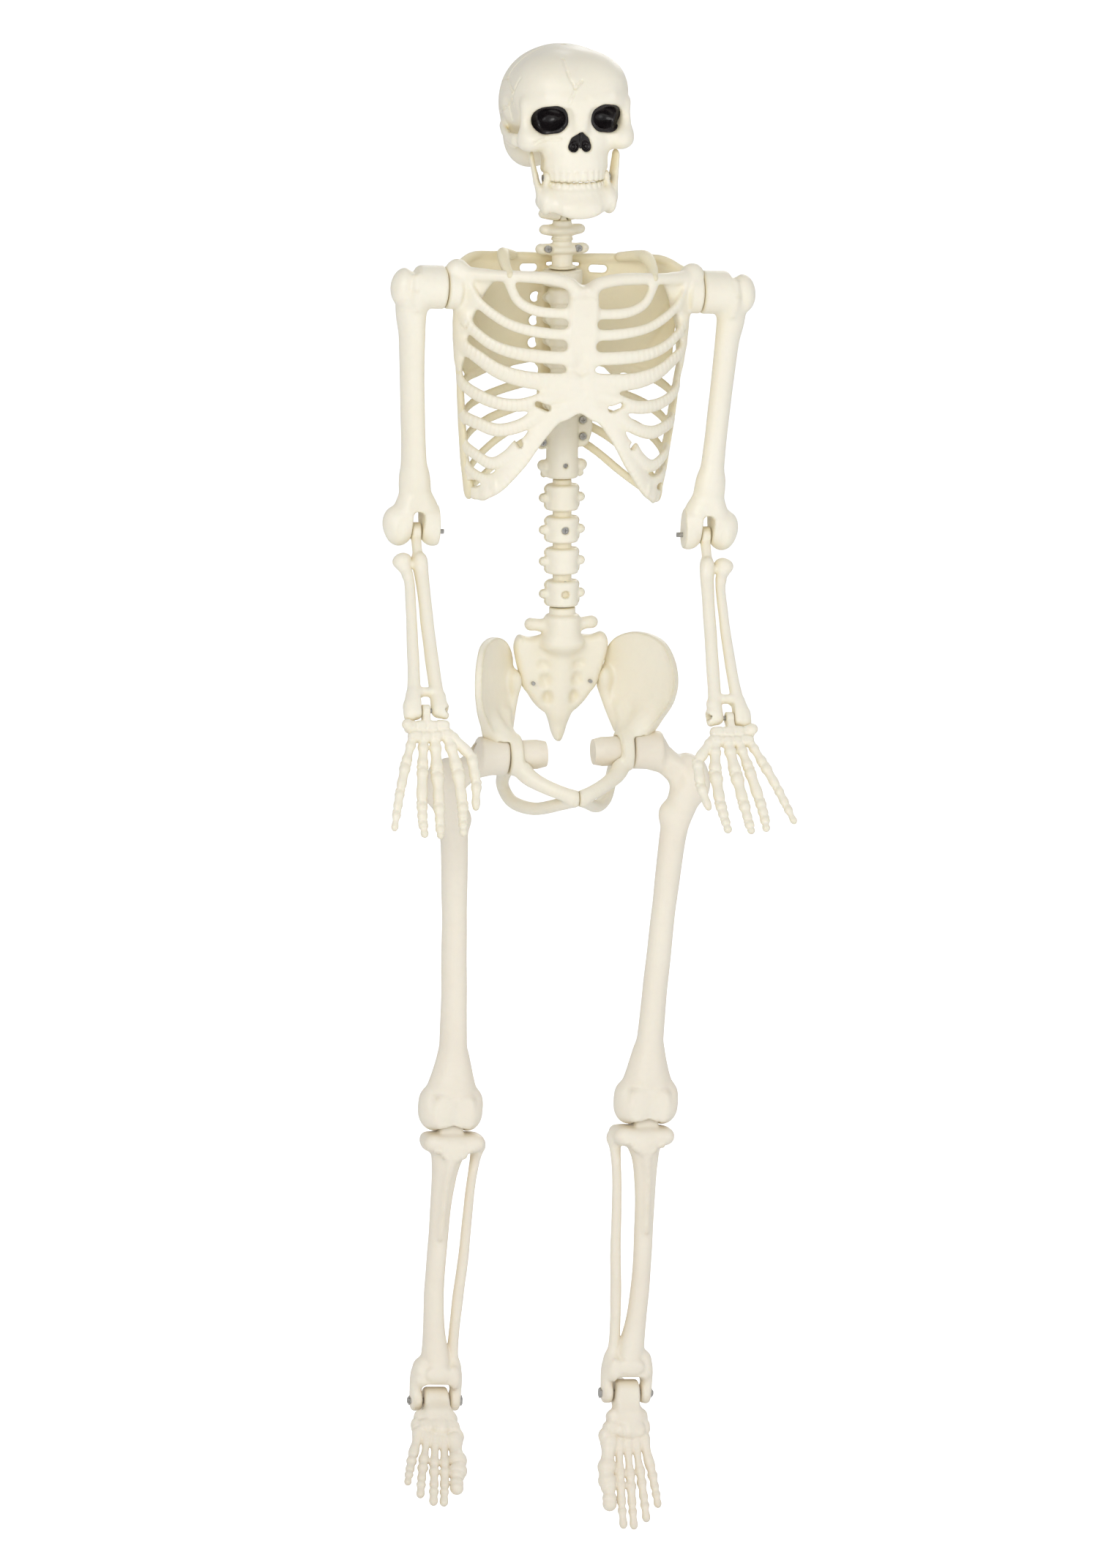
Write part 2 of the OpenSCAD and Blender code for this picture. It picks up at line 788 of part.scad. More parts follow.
module shoulder_hub_left() shoulder_hub(left);
module shoulder_hub_right() shoulder_hub(right);
module humerus_left() humerus(left);
module humerus_right() humerus(right);
module elbow_pin_left() elbow_pin(left);
module elbow_pin_right() elbow_pin(right);
module forearm_left() forearm_bones(left);
module forearm_right() forearm_bones(right);
module wrist_pin_left() wrist_pin(left);
module wrist_pin_right() wrist_pin(right);
module hand_left() hand(left);
module hand_right() hand(right);

// -------------------------------------------------------------------- legs

hip_screw_up = 7.5;
femur_stations = [
    [[52, 1, -28], 17], [[38, 2, -80], 15], [[31, 3, -210], 13.2], [[26, 4, -310], 15], [[25, 4, -352], 22]
];

module hip_hub(side) color(ivory) hip_frame(side) difference() {
    union() {
        rod_x(-44, -26.2, 15);
        translate([-53, 0, 0]) rotate([0, 90, 0]) cylinder(h = 9, r1 = 13, r2 = 15);
        rod_x(-27, -0.3, 12);
    }
    rod_x(-30, 5, 2.2 + clearance, 0, hip_screw_up);
}

module hip_screw(side) color(steel) hip_frame(side)
    translate([18.1, 0, hip_screw_up])
        rotate([0, 0, 90])
            cross_screw(46, 2.2, 4.4);

module femur(side) color(ivory) difference() {
    union() {
        hip_frame(side) rod_x(-12.6, 18, 19.5);
        leg_frame(side) {
            bar([8, 0, -6], [52, 1, -30], 14, 16);
            ball([54, 1, -28], 18.5);
            bone(femur_stations);
            axle([knee_shift[0], knee_shift[1], -thigh], 19.5, 60);
        }
    }
    hip_frame(side) {
        rod_x(-14, 0, 12 + clearance);
        rod_x(-14, 60, 2.2 + clearance, 0, hip_screw_up);
        rod_x(18, 60, 5, 0, hip_screw_up);
    }
    leg_frame(side) {
        translate([knee_shift[0] - 13, -40, -thigh - 30]) cube([26, 90, 53]);
        axle([knee_shift[0], knee_shift[1], -thigh], knee_r + clearance, 100);
    }
}

module knee_pin(side) color(steel) knee_frame(side)
    axle([0, 0, 0], knee_r, 59);

fork_in = 14.5;
fork_out = 24;

module shin_bones(side) color(ivory) knee_frame(side) difference() {
    union() {
        axle([0, 0, 0], 16, 25.4);
        translate([-12.7, -13, -24]) cube([25.4, 26, 24]);
        translate([-33, -18, -35]) cube([60, 32, 13.5]);
        bone([[[2, -1, -34], 19], [[3, 0, -62], 14], [[6, 0, -125], 10.8], [[6, 2, -195], 10.7],
              [[1, 4, -250], 14], [[-1, 5, -272], 16]]);
        bone([[[-28, 0, -33], 7], [[-30, 0, -60], 5.5], [[-30, 0, -110], 4.2], [[-27, 2, -165], 5.2],
              [[-21, 3, -220], 5.2], [[-14, 4, -262], 9]]);
        translate([ankle_shift[0], ankle_shift[1], -shin]) {
            translate([-fork_out, -12, 18]) cube([2 * fork_out, 24, 18]);
            rod_x(fork_in, fork_out, 11);
            rod_x(-fork_out, -fork_in, 11);
            translate([fork_in, -11, 0]) cube([fork_out - fork_in, 22, 20]);
            translate([-fork_out, -11, 0]) cube([fork_out - fork_in, 22, 20]);
        }
    }
    axle([0, 0, 0], knee_r + clearance, 60);
    translate([ankle_shift[0], ankle_shift[1], -shin])
        axle([0, 0, 0], bolt_r + clearance, 80);
}

module bolt_frame(side) {
    knee_frame(side)
        translate([ankle_shift[0], ankle_shift[1], -shin])
            children();
}

module ankle_bolt(side) color(steel) bolt_frame(side) {
    rod_x(-fork_out - 0.1, fork_out + 5, bolt_r);
    translate([-fork_out - 4.1, 0, 0]) rotate([0, 90, 0]) cylinder(h = 4, r = 5.6, $fn = 6);
}

module ankle_nut(side) color(steel) bolt_frame(side)
    difference() {
        translate([fork_out + 0.1, 0, 0]) rotate([0, 90, 0]) cylinder(h = 3.6, r = 5, $fn = 6);
        rod_x(fork_out - 1, fork_out + 8, bolt_r + clearance);
    }

// Each toe: where its ray leaves the instep, its ball and its tip, across and along the foot.
toes = [
    [[-15, -40], [-18, -90], [-14, -125], 6.6],
    [[-6, -42], [-3, -96], [2, -143], 4.4],
    [[2.5, -42], [8, -95], [13, -143], 4.2],
    [[10.5, -42], [19, -90], [26, -133], 4],
    [[18, -38], [30, -82], [38, -117], 4]
];
foot_yaw = 4.5;

module foot(side) color(ivory) ankle_frame(side) difference() {
    union() {
        axle([0, 0, 0], 14.5, 25);
        translate([-12, -8, -32]) cube([24, 22, 32]);
        translate([-22, -7, -50]) cube([46, 20, 22]);
        bar([0, 6, -4], [0, 30, 14], 11, 11);
        ball([0, 31, 14], 12);
        rotate([0, side * foot_yaw, 0])
            for (toe = toes) {
                bar([toe[0][0], 3, toe[0][1]], [toe[1][0], 2, toe[1][1]], toe[3] * 0.9, toe[3]);
                ball([toe[1][0], 2, toe[1][1]], toe[3] * 1.15);
                bar([toe[1][0], 2, toe[1][1]], [toe[2][0], 4, toe[2][1] + toe[3]], toe[3], toe[3] * 0.7);
                ball([toe[2][0], 4, toe[2][1] + toe[3]], toe[3] * 0.9);
            }
    }
    axle([0, 0, 0], bolt_r + clearance, 80);
}

module hip_hub_left() hip_hub(left);
module hip_hub_right() hip_hub(right);
module hip_screw_left() hip_screw(left);
module hip_screw_right() hip_screw(right);
module femur_left() femur(left);
module femur_right() femur(right);
module knee_pin_left() knee_pin(left);
module knee_pin_right() knee_pin(right);
module shin_left() shin_bones(left);
module shin_right() shin_bones(right);
module ankle_bolt_left() ankle_bolt(left);
module ankle_bolt_right() ankle_bolt(right);
module ankle_nut_left() ankle_nut(left);
module ankle_nut_right() ankle_nut(right);
module foot_left() foot(left);
module foot_right() foot(right);

// ------------------------------------------------------------------ output

skull_front();
skull_rear();
eye_nose_insert();
atlas();
head_pin();
jaw();
jaw_screws();
neck_front();
neck_rear();
neck_screws();
ribcage_front();
ribcage_rear();
ribcage_screws();
thoracic_front();
thoracic_rear();
shoulder_socket_left();
shoulder_socket_right();
lumbar_front();
lumbar_rear();
lumbar_screws();
sacrum();
hip_bone_left();
hip_bone_right();
pelvis_screws();
shoulder_hub_left();
humerus_left();
elbow_pin_left();
forearm_left();
wrist_pin_left();
hand_left();
shoulder_hub_right();
humerus_right();
elbow_pin_right();
forearm_right();
wrist_pin_right();
hand_right();
hip_hub_left();
femur_left();
hip_screw_left();
knee_pin_left();
shin_left();
ankle_bolt_left();
ankle_nut_left();
foot_left();
hip_hub_right();
femur_right();
hip_screw_right();
knee_pin_right();
shin_right();
ankle_bolt_right();
ankle_nut_right();
foot_right();
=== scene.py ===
"""A posable hanging skeleton. Every bone is sculpted as a distance field around its CAD joints and rides
on its CAD body; the pins, screws, bolts and hubs are the CAD nodes themselves.

Lengths inside the sculpting functions are millimetres in the row frame, or in a limb's own frame, which
has +X away from the body, +Y to the back and -Z down the limb.
"""
import json
import math

import bpy
import numpy as np
import openvdb
from mathutils import Matrix, Vector


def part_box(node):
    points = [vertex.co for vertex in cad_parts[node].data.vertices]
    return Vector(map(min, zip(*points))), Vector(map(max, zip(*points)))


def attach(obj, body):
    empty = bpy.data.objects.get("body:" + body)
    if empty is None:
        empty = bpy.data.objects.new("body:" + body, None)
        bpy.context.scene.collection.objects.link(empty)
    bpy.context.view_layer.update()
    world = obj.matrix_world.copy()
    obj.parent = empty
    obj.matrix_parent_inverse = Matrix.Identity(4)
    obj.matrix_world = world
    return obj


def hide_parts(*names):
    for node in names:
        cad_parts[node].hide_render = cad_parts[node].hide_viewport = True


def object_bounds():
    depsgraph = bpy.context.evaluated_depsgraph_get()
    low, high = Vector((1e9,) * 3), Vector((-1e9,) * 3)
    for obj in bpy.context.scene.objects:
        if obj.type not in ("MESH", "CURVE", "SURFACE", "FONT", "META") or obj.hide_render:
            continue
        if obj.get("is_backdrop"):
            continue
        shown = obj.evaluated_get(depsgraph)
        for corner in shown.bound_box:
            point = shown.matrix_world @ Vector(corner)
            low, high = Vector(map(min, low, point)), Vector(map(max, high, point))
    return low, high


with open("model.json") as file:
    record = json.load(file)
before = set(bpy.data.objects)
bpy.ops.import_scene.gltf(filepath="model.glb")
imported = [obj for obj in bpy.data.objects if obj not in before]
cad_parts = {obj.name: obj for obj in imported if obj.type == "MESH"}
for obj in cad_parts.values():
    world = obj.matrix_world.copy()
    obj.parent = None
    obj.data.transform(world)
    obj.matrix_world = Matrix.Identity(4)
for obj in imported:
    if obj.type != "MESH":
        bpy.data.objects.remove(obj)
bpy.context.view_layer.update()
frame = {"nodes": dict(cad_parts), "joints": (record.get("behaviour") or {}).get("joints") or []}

MM = 0.001
FAR = 1e3
SIDES = {"left": 1, "right": -1}
JOINTS = {j["name"]: j for j in frame["joints"]}


# ------------------------------------------------------------------ sculpting

def box_mm(node):
    """Lowest and highest corner of a CAD node, in millimetres."""
    low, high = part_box(node)
    return np.array(low) / MM, np.array(high) / MM


def joint_mm(name):
    return np.array(JOINTS[name]["pos_m"]) / MM


def smooth_min(a, b, soft):
    if soft <= 0:
        return np.minimum(a, b)
    h = np.maximum(soft - np.abs(a - b), 0) / soft
    return np.minimum(a, b) - h * h * soft / 4


def turned(x, y, z, centre, turn):
    """Coordinates about centre, in axes turned by the three angles of turn about X, Y and Z."""
    x, y, z = x - centre[0], y - centre[1], z - centre[2]
    if turn == (0, 0, 0):
        return x, y, z
    ax, ay, az = (math.radians(-t) for t in turn)
    x, y = x * math.cos(az) - y * math.sin(az), x * math.sin(az) + y * math.cos(az)
    x, z = x * math.cos(ay) + z * math.sin(ay), -x * math.sin(ay) + z * math.cos(ay)
    y, z = y * math.cos(ax) - z * math.sin(ax), y * math.sin(ax) + z * math.cos(ax)
    return x, y, z


def around(centre, reach):
    centre, reach = np.array(centre, float), np.array(reach, float)
    return centre - reach, centre + reach


def ball(centre, r):
    return (*around(centre, r), lambda x, y, z: np.sqrt(
        (x - centre[0]) ** 2 + (y - centre[1]) ** 2 + (z - centre[2]) ** 2) - r)


def egg(centre, radii, turn=(0, 0, 0)):
    """An ellipsoid."""
    def distance(x, y, z):
        x, y, z = turned(x, y, z, centre, turn)
        k0 = np.sqrt((x / radii[0]) ** 2 + (y / radii[1]) ** 2 + (z / radii[2]) ** 2)
        k1 = np.sqrt((x / radii[0] ** 2) ** 2 + (y / radii[1] ** 2) ** 2 + (z / radii[2] ** 2) ** 2)
        return k0 * (k0 - 1) / np.maximum(k1, 1e-6)
    reach = radii if turn == (0, 0, 0) else [max(radii)] * 3
    return (*around(centre, reach), distance)


def slab(centre, half, corner=2, turn=(0, 0, 0)):
    """A box with rounded corners."""
    def distance(x, y, z):
        x, y, z = turned(x, y, z, centre, turn)
        qx, qy, qz = (abs(v) - h + corner for v, h in zip((x, y, z), half))
        outside = np.sqrt(np.maximum(qx, 0) ** 2 + np.maximum(qy, 0) ** 2 + np.maximum(qz, 0) ** 2)
        return outside + np.minimum(np.maximum(np.maximum(qx, qy), qz), 0) - corner
    reach = half if turn == (0, 0, 0) else [float(np.linalg.norm(half))] * 3
    return (*around(centre, reach), distance)


def barrel(centre, r, half, axis="z", corner=1.5):
    """A cylinder with rounded rims."""
    def distance(x, y, z):
        v = dict(x=x - centre[0], y=y - centre[1], z=z - centre[2])
        along = v.pop(axis)
        across = np.sqrt(sum(w ** 2 for w in v.values()))
        q, p = across - r + corner, abs(along) - half + corner
        return np.sqrt(np.maximum(q, 0) ** 2 + np.maximum(p, 0) ** 2) + np.minimum(np.maximum(q, p), 0) - corner
    reach = [half if a == axis else r for a in "xyz"]
    return (*around(centre, reach), distance)


def chain(points, radii, flat=None, thin=1.0):
    """A rounded bar through points. flat is the direction, or one direction a point, in which it is thinner."""
    points = np.array(points, float)
    radii = np.broadcast_to(np.array(radii, float), (len(points),))
    if flat is not None:
        flat = np.broadcast_to(np.array(flat, float), points.shape)

    def distance(x, y, z):
        best = None
        for i in range(len(points) - 1):
            a, d = points[i], points[i + 1] - points[i]
            px, py, pz = x - a[0], y - a[1], z - a[2]
            t = np.clip((px * d[0] + py * d[1] + pz * d[2]) / max(float(d @ d), 1e-9), 0, 1)
            qx, qy, qz = px - t * d[0], py - t * d[1], pz - t * d[2]
            square = qx ** 2 + qy ** 2 + qz ** 2
            if flat is not None:
                n, m = flat[i], flat[i + 1] - flat[i]
                depth = qx * (n[0] + t * m[0]) + qy * (n[1] + t * m[1]) + qz * (n[2] + t * m[2])
                square = square + (thin ** 2 - 1) * depth ** 2
            part = np.sqrt(square) - (radii[i] + t * (radii[i + 1] - radii[i]))
            best = part if best is None else np.minimum(best, part)
        return best
    return (points.min(0) - radii.max(), points.max(0) + radii.max(), distance)


def curve(points, steps=6):
    """Points along a smooth curve through the given rows. A row may hold more than three numbers."""
    p = np.array(points, float)
    p = np.vstack([2 * p[0] - p[1], p, 2 * p[-1] - p[-2]])
    out = []
    for i in range(1, len(p) - 2):
        for t in np.arange(steps) / steps:
            out.append(0.5 * (2 * p[i] + (p[i + 1] - p[i - 1]) * t
                              + (2 * p[i - 1] - 5 * p[i] + 4 * p[i + 1] - p[i + 2]) * t ** 2
                              + (3 * p[i] - p[i - 1] - 3 * p[i + 1] + p[i + 2]) * t ** 3))
    out.append(p[-2])
    return np.array(out)


def shaft(rows, flat=None, thin=1.0, steps=5):
    """A smooth bone shaft through rows of x, y, z and radius."""
    fine = curve(rows, steps)
    return chain(fine[:, :3], np.maximum(fine[:, 3], 0.5), flat, thin)


def both(shape_of, *args, **named):
    """The same shape on both sides of the figure."""
    low, high, distance = shape_of(*args, **named)
    low, high = np.array(low, float), np.array(high, float)
    other_low, other_high = low.copy(), high.copy()
    other_low[0], other_high[0] = -high[0], -low[0]
    return (low, high, distance), (other_low, other_high, lambda x, y, z: distance(-x, y, z))


class Clay:
    """A block of clay: a distance field on a grid, negative inside, shaped by adding and carving."""

    def __init__(self, low, high, voxel=1.2):
        self.low, self.voxel = np.array(low, float), voxel
        size = np.ceil((np.array(high, float) - self.low) / voxel).astype(int) + 1
        self.field = np.full(size, FAR, np.float32)

    def grid(self, low, high):
        a = np.clip(np.floor((low - self.low) / self.voxel), 0, self.field.shape).astype(int)
        b = np.clip(np.ceil((high - self.low) / self.voxel) + 1, 0, self.field.shape).astype(int)
        x, y, z = (np.float32(self.low[k]) + np.float32(self.voxel) * np.arange(a[k], b[k], dtype=np.float32)
                   for k in range(3))
        where = tuple(slice(i, j) for i, j in zip(a, b))
        return where, x[:, None, None], y[None, :, None], z[None, None, :]

    def add(self, *shapes, soft=0):
        for low, high, distance in shapes:
            reach = max(soft, 6) + 6
            where, x, y, z = self.grid(low - reach, high + reach)
            self.field[where] = smooth_min(self.field[where], distance(x, y, z), soft)
        return self

    def carve(self, *shapes, soft=0):
        for low, high, distance in shapes:
            reach = soft + 3
            where, x, y, z = self.grid(low - reach, high + reach)
            self.field[where] = -smooth_min(-self.field[where], distance(x, y, z), soft)
        return self

    def cut(self, axis, at, keep):
        """Keeps only what lies above (keep 1) or below (keep -1) a plane across axis."""
        _, *xyz = self.grid(self.low, self.low + self.voxel * np.array(self.field.shape))
        self.field = np.maximum(self.field, keep * (at - xyz["xyz".index(axis)]))
        return self

    def rough(self, height=0.3, size=9.0):
        """Small hand-made unevenness."""
        _, x, y, z = self.grid(self.low, self.low + self.voxel * np.array(self.field.shape))
        wave = (np.sin(x / size + 1.3 * np.sin(z / size / 1.7)) * np.sin(y / size * 1.2 + 0.7)
                * np.sin(z / size / 1.4 + 2.1 + 0.8 * np.sin(x / size * 0.9)))
        self.field = self.field + np.float32(height) * wave
        return self

    def seam(self, axis, at, height=0.35, width=0.9):
        """A faint raised moulding line in the plane across axis."""
        _, *xyz = self.grid(self.low, self.low + self.voxel * np.array(self.field.shape))
        self.field = self.field - np.float32(height) * np.exp(-((xyz["xyz".index(axis)] - at) / width) ** 2)
        return self

    def surface(self, towards, centre):
        """Where a ray from centre through towards leaves the clay."""
        towards, centre = np.array(towards, float), np.array(centre, float)
        along = (towards - centre) / np.linalg.norm(towards - centre)
        reach = np.arange(20, 110, self.voxel / 2)
        cells = np.rint((centre + reach[:, None] * along - self.low) / self.voxel).astype(int)
        cells = np.clip(cells, 0, np.array(self.field.shape) - 1)
        inside = np.nonzero(self.field[tuple(cells.T)] < 0)[0]
        return centre + along * (reach[inside[-1]] if len(inside) else np.linalg.norm(towards - centre))

    def copy(self):
        other = Clay(self.low, self.low, self.voxel)
        other.field = self.field.copy()
        return other

    def skin(self):
        """Vertices in millimetres and quads of the clay's surface."""
        field = self.field.copy()
        for k in range(3):
            edge = np.moveaxis(field, k, 0)
            edge[0] = edge[-1] = FAR
        grid = openvdb.FloatGrid(3 * self.voxel)
        grid.copyFromArray(np.clip(field, -3 * self.voxel, 3 * self.voxel))
        points, quads = grid.convertToQuads(0.0)
        return self.low + points * self.voxel, quads


class Place:
    """Where a limb's own frame lies in the row frame."""

    def __init__(self, joint=None, side=1, bend=0.0):
        self.side = side
        self.origin, self.axes = np.zeros(3), np.eye(3)
        if joint:
            self.origin = joint_mm(joint)
            across = np.array(JOINTS[joint]["axis"], float)
            across *= np.sign(across[0])
            back = np.array([0.0, 1.0, 0.0])
            up = np.cross(across, back)
            c, s = math.cos(math.radians(bend)), math.sin(math.radians(bend))
            self.axes = np.array([side * across, c * back - s * up, s * back + c * up])

    def __call__(self, points):
        return np.asarray(points) @ self.axes + self.origin


ROW = Place()


def piece(name, body, clay, material, replaces=(), place=ROW):
    """The clay's surface as a smooth mesh that rides on body."""
    points, quads = clay.skin() if isinstance(clay, Clay) else clay
    mesh = bpy.data.meshes.new(name)
    order = quads[:, ::-1] if place.side > 0 else quads
    mesh.from_pydata((place(points) * MM).tolist(), [], order.tolist())
    mesh.shade_smooth()
    mesh.materials.append(material)
    obj = bpy.data.objects.new(name, mesh)
    bpy.context.scene.collection.objects.link(obj)
    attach(obj, body)
    if replaces:
        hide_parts(*replaces)
    return obj


def outline_distance(points, x, z):
    """Signed distance to a closed outline in the XZ plane."""
    points = np.array(points, float)
    best, sign = None, None
    for a, b in zip(points, np.roll(points, -1, axis=0)):
        ex, ez = b - a
        wx, wz = x - a[0], z - a[1]
        t = np.clip((wx * ex + wz * ez) / (ex * ex + ez * ez), 0, 1)
        square = (wx - ex * t) ** 2 + (wz - ez * t) ** 2
        best = square if best is None else np.minimum(best, square)
        up, down, left = z >= a[1], z < b[1], ex * wz > ez * wx
        flip = np.where((up & down & left) | (~up & ~down & ~left), -1, 1)
        sign = flip if sign is None else sign * flip
    return np.sqrt(best) * sign


def plate(outline, face, thick, deep, corner=1.5):
    """A sheet of the given outline in X and Z, whose middle lies at y = face(x, z). deep is the span of y."""
    outline = curve(list(outline) + [outline[0]], 5)[:-1]

    def distance(x, y, z):
        q = outline_distance(outline, x, z) + corner
        p = np.abs(y - face(x, z)) - thick / 2 + corner
        return np.sqrt(np.maximum(q, 0) ** 2 + np.maximum(p, 0) ** 2) + np.minimum(np.maximum(q, p), 0) - corner
    low, high = outline.min(0), outline.max(0)
    return np.array([low[0], deep[0], low[1]]), np.array([high[0], deep[1], high[1]]), distance


def hole(x, z, rx, rz, low, high, lean=0):
    """A round or oval hole along Y, between y low and high."""
    return slab((x, (low + high) / 2, z), (rx, (high - low) / 2, rz), min(rx, rz) * 0.98, (0, lean, 0))


def prism(points, radii, low, high):
    """A rounded bar in the XZ plane, drawn out along Y from low to high."""
    flat = chain([(x, 0, z) for x, z in points], radii)

    def distance(x, y, z):
        return np.maximum(flat[2](x, 0 * y, z), np.abs(y - (low + high) / 2) - (high - low) / 2)
    a, b = flat[0].copy(), flat[1].copy()
    a[1], b[1] = low, high
    return a, b, distance


# ------------------------------------------------------------------ materials

def shader(name, slot, build):
    material = bpy.data.materials.new(name)
    material.use_nodes = True
    material["slot"] = slot
    nodes, links = material.node_tree.nodes, material.node_tree.links
    face = nodes["Principled BSDF"]
    where = nodes.new("ShaderNodeTexCoord").outputs["Object"]

    def noise(scale, detail=3.0, rough=0.55):
        n = nodes.new("ShaderNodeTexNoise")
        n.inputs["Scale"].default_value = scale
        n.inputs["Detail"].default_value = detail
        n.inputs["Roughness"].default_value = rough
        links.new(where, n.inputs["Vector"])
        return n.outputs["Fac"]

    def ramp(value, low, high, a, b):
        n = nodes.new("ShaderNodeMapRange")
        links.new(value, n.inputs["Value"])
        for key, v in (("From Min", low), ("From Max", high), ("To Min", a), ("To Max", b)):
            n.inputs[key].default_value = v
        return n.outputs["Result"]

    def mix(value, a, b):
        n = nodes.new("ShaderNodeMix")
        n.data_type = "RGBA"
        links.new(value, n.inputs["Factor"])
        for key, v in (("A", a), ("B", b)):
            socket = next(s for s in n.inputs if s.name == key and s.type == "RGBA")
            if isinstance(v, tuple):
                socket.default_value = (*v, 1)
            else:
                links.new(v, socket)
        return next(s for s in n.outputs if s.type == "RGBA")

    def bump(height, strength, distance, under=None):
        n = nodes.new("ShaderNodeBump")
        n.inputs["Strength"].default_value = strength
        n.inputs["Distance"].default_value = distance
        links.new(height, n.inputs["Height"])
        if under:
            links.new(under, n.inputs["Normal"])
        return n.outputs["Normal"]

    build(nodes, links, face, noise, ramp, mix, bump)
    return material


def plastic(name, slot, base, tint, deep, rough=0.42):
    """Moulded ivory plastic: uneven tone, painted warm shade towards the deep colour in the hollows and creases, satin,
    with faint flow marks.
    """
    def build(nodes, links, face, noise, ramp, mix, bump):
        tone = mix(ramp(noise(9, 4), 0.35, 0.68, 0, 1), base, tint)
        tone = mix(ramp(noise(170, 3), 0.45, 0.8, 0, 0.25), tone, tuple(0.9 * c for c in base))
        # Painted shade: ambient occlusion pulls the colour towards deep in hollows and between parts.
        ao_shade = nodes.new("ShaderNodeAmbientOcclusion")
        ao_shade.samples = 4
        ao_shade.inputs["Distance"].default_value = 0.045
        tone = mix(ramp(ao_shade.outputs["AO"], 0.30, 0.95, 0.6, 0), tone, deep)
        # Painted shade: creases found by pointiness are darkened further towards deep.
        crease_shade = nodes.new("ShaderNodeNewGeometry").outputs["Pointiness"]
        tone = mix(ramp(crease_shade, 0.49, 0.44, 0, 0.55), tone, tuple(0.72 * c for c in deep))
        links.new(tone, face.inputs["Base Color"])
        links.new(ramp(noise(60, 3), 0.3, 0.75, rough - 0.07, rough + 0.1), face.inputs["Roughness"])
        fine = bump(noise(900, 3, 0.6), 0.10, 0.0004)
        links.new(bump(noise(75, 3), 0.22, 0.0012, fine), face.inputs["Normal"])
        face.inputs["Subsurface Weight"].default_value = 0.12
        face.inputs["Subsurface Radius"].default_value = (0.006, 0.004, 0.002)
        face.inputs["Subsurface Scale"].default_value = 1.0
        face.inputs["Specular IOR Level"].default_value = 0.42
        face.inputs["Coat Weight"].default_value = 0.06
        face.inputs["Coat Roughness"].default_value = 0.3
    return shader(name, slot, build)


# The last colour of each plastic is the colour of its painted shade in hollows and creases.
IVORY = plastic("ivory_plastic", "ivory", (0.90, 0.86, 0.745), (0.86, 0.815, 0.69), (0.80, 0.70, 0.44))
WARM = plastic("warm_ivory_plastic", "warm_ivory", (0.86, 0.81, 0.70), (0.83, 0.765, 0.655), (0.74, 0.64, 0.46), 0.45)
AGED = plastic("aged_ivory_plastic", "aged_ivory", (0.90, 0.84, 0.65), (0.87, 0.80, 0.59), (0.78, 0.67, 0.40), 0.46)


def gloss(nodes, links, face, noise, ramp, mix, bump):
    links.new(mix(ramp(noise(60), 0.3, 0.7, 0, 1), (0.004, 0.0035, 0.004), (0.016, 0.012, 0.013)),
              face.inputs["Base Color"])
    links.new(ramp(noise(140, 4), 0.3, 0.7, 0.16, 0.36), face.inputs["Roughness"])
    links.new(bump(noise(160, 3), 0.35, 0.0015), face.inputs["Normal"])
    face.inputs["Specular IOR Level"].default_value = 0.3
    face.inputs["Coat Weight"].default_value = 0.12
    face.inputs["Coat Roughness"].default_value = 0.12


def zinc(nodes, links, face, noise, ramp, mix, bump):
    links.new(mix(ramp(noise(500, 4), 0.3, 0.7, 0, 1), (0.33, 0.32, 0.30), (0.52, 0.51, 0.49)),
              face.inputs["Base Color"])
    links.new(ramp(noise(900, 4), 0.3, 0.7, 0.28, 0.5), face.inputs["Roughness"])
    links.new(bump(noise(1400, 3), 0.2, 0.0003), face.inputs["Normal"])
    face.inputs["Metallic"].default_value = 0.95


BLACK = shader("gloss_black_plastic", "gloss_black", gloss)
STEEL = shader("zinc_steel", "steel", zinc)


# ------------------------------------------------------------------ skull

def dental_arch(angle, half_width, depth, back):
    a = math.radians(angle)
    return half_width * math.sin(a), back - depth * math.cos(a)


def teeth(clay, crown_z, height, root, half_width, depth, back, widths):
    """A row of teeth round the arch, from the middle out to both sides. root points away from the crowns."""
    angle = 0.0
    for width in widths:
        step = math.degrees(width / (0.5 * (half_width + depth)))
        angle += step / 2
        x, y = dental_arch(angle, half_width, depth, back)
        for side in (-1, 1):
            clay.add(slab((side * x, y, crown_z), (width * 0.46, 2.7, height / 2), 2.3, (0, 0, side * angle)), soft=0.5)
            clay.add(chain([(side * x, y + 0.6, crown_z + root * height * 0.35),
                            (side * x * 0.97, y + 1.8, crown_z + root * height * 1.35)],
                           [width * 0.36, width * 0.2]), soft=2.5)
        angle += step / 2


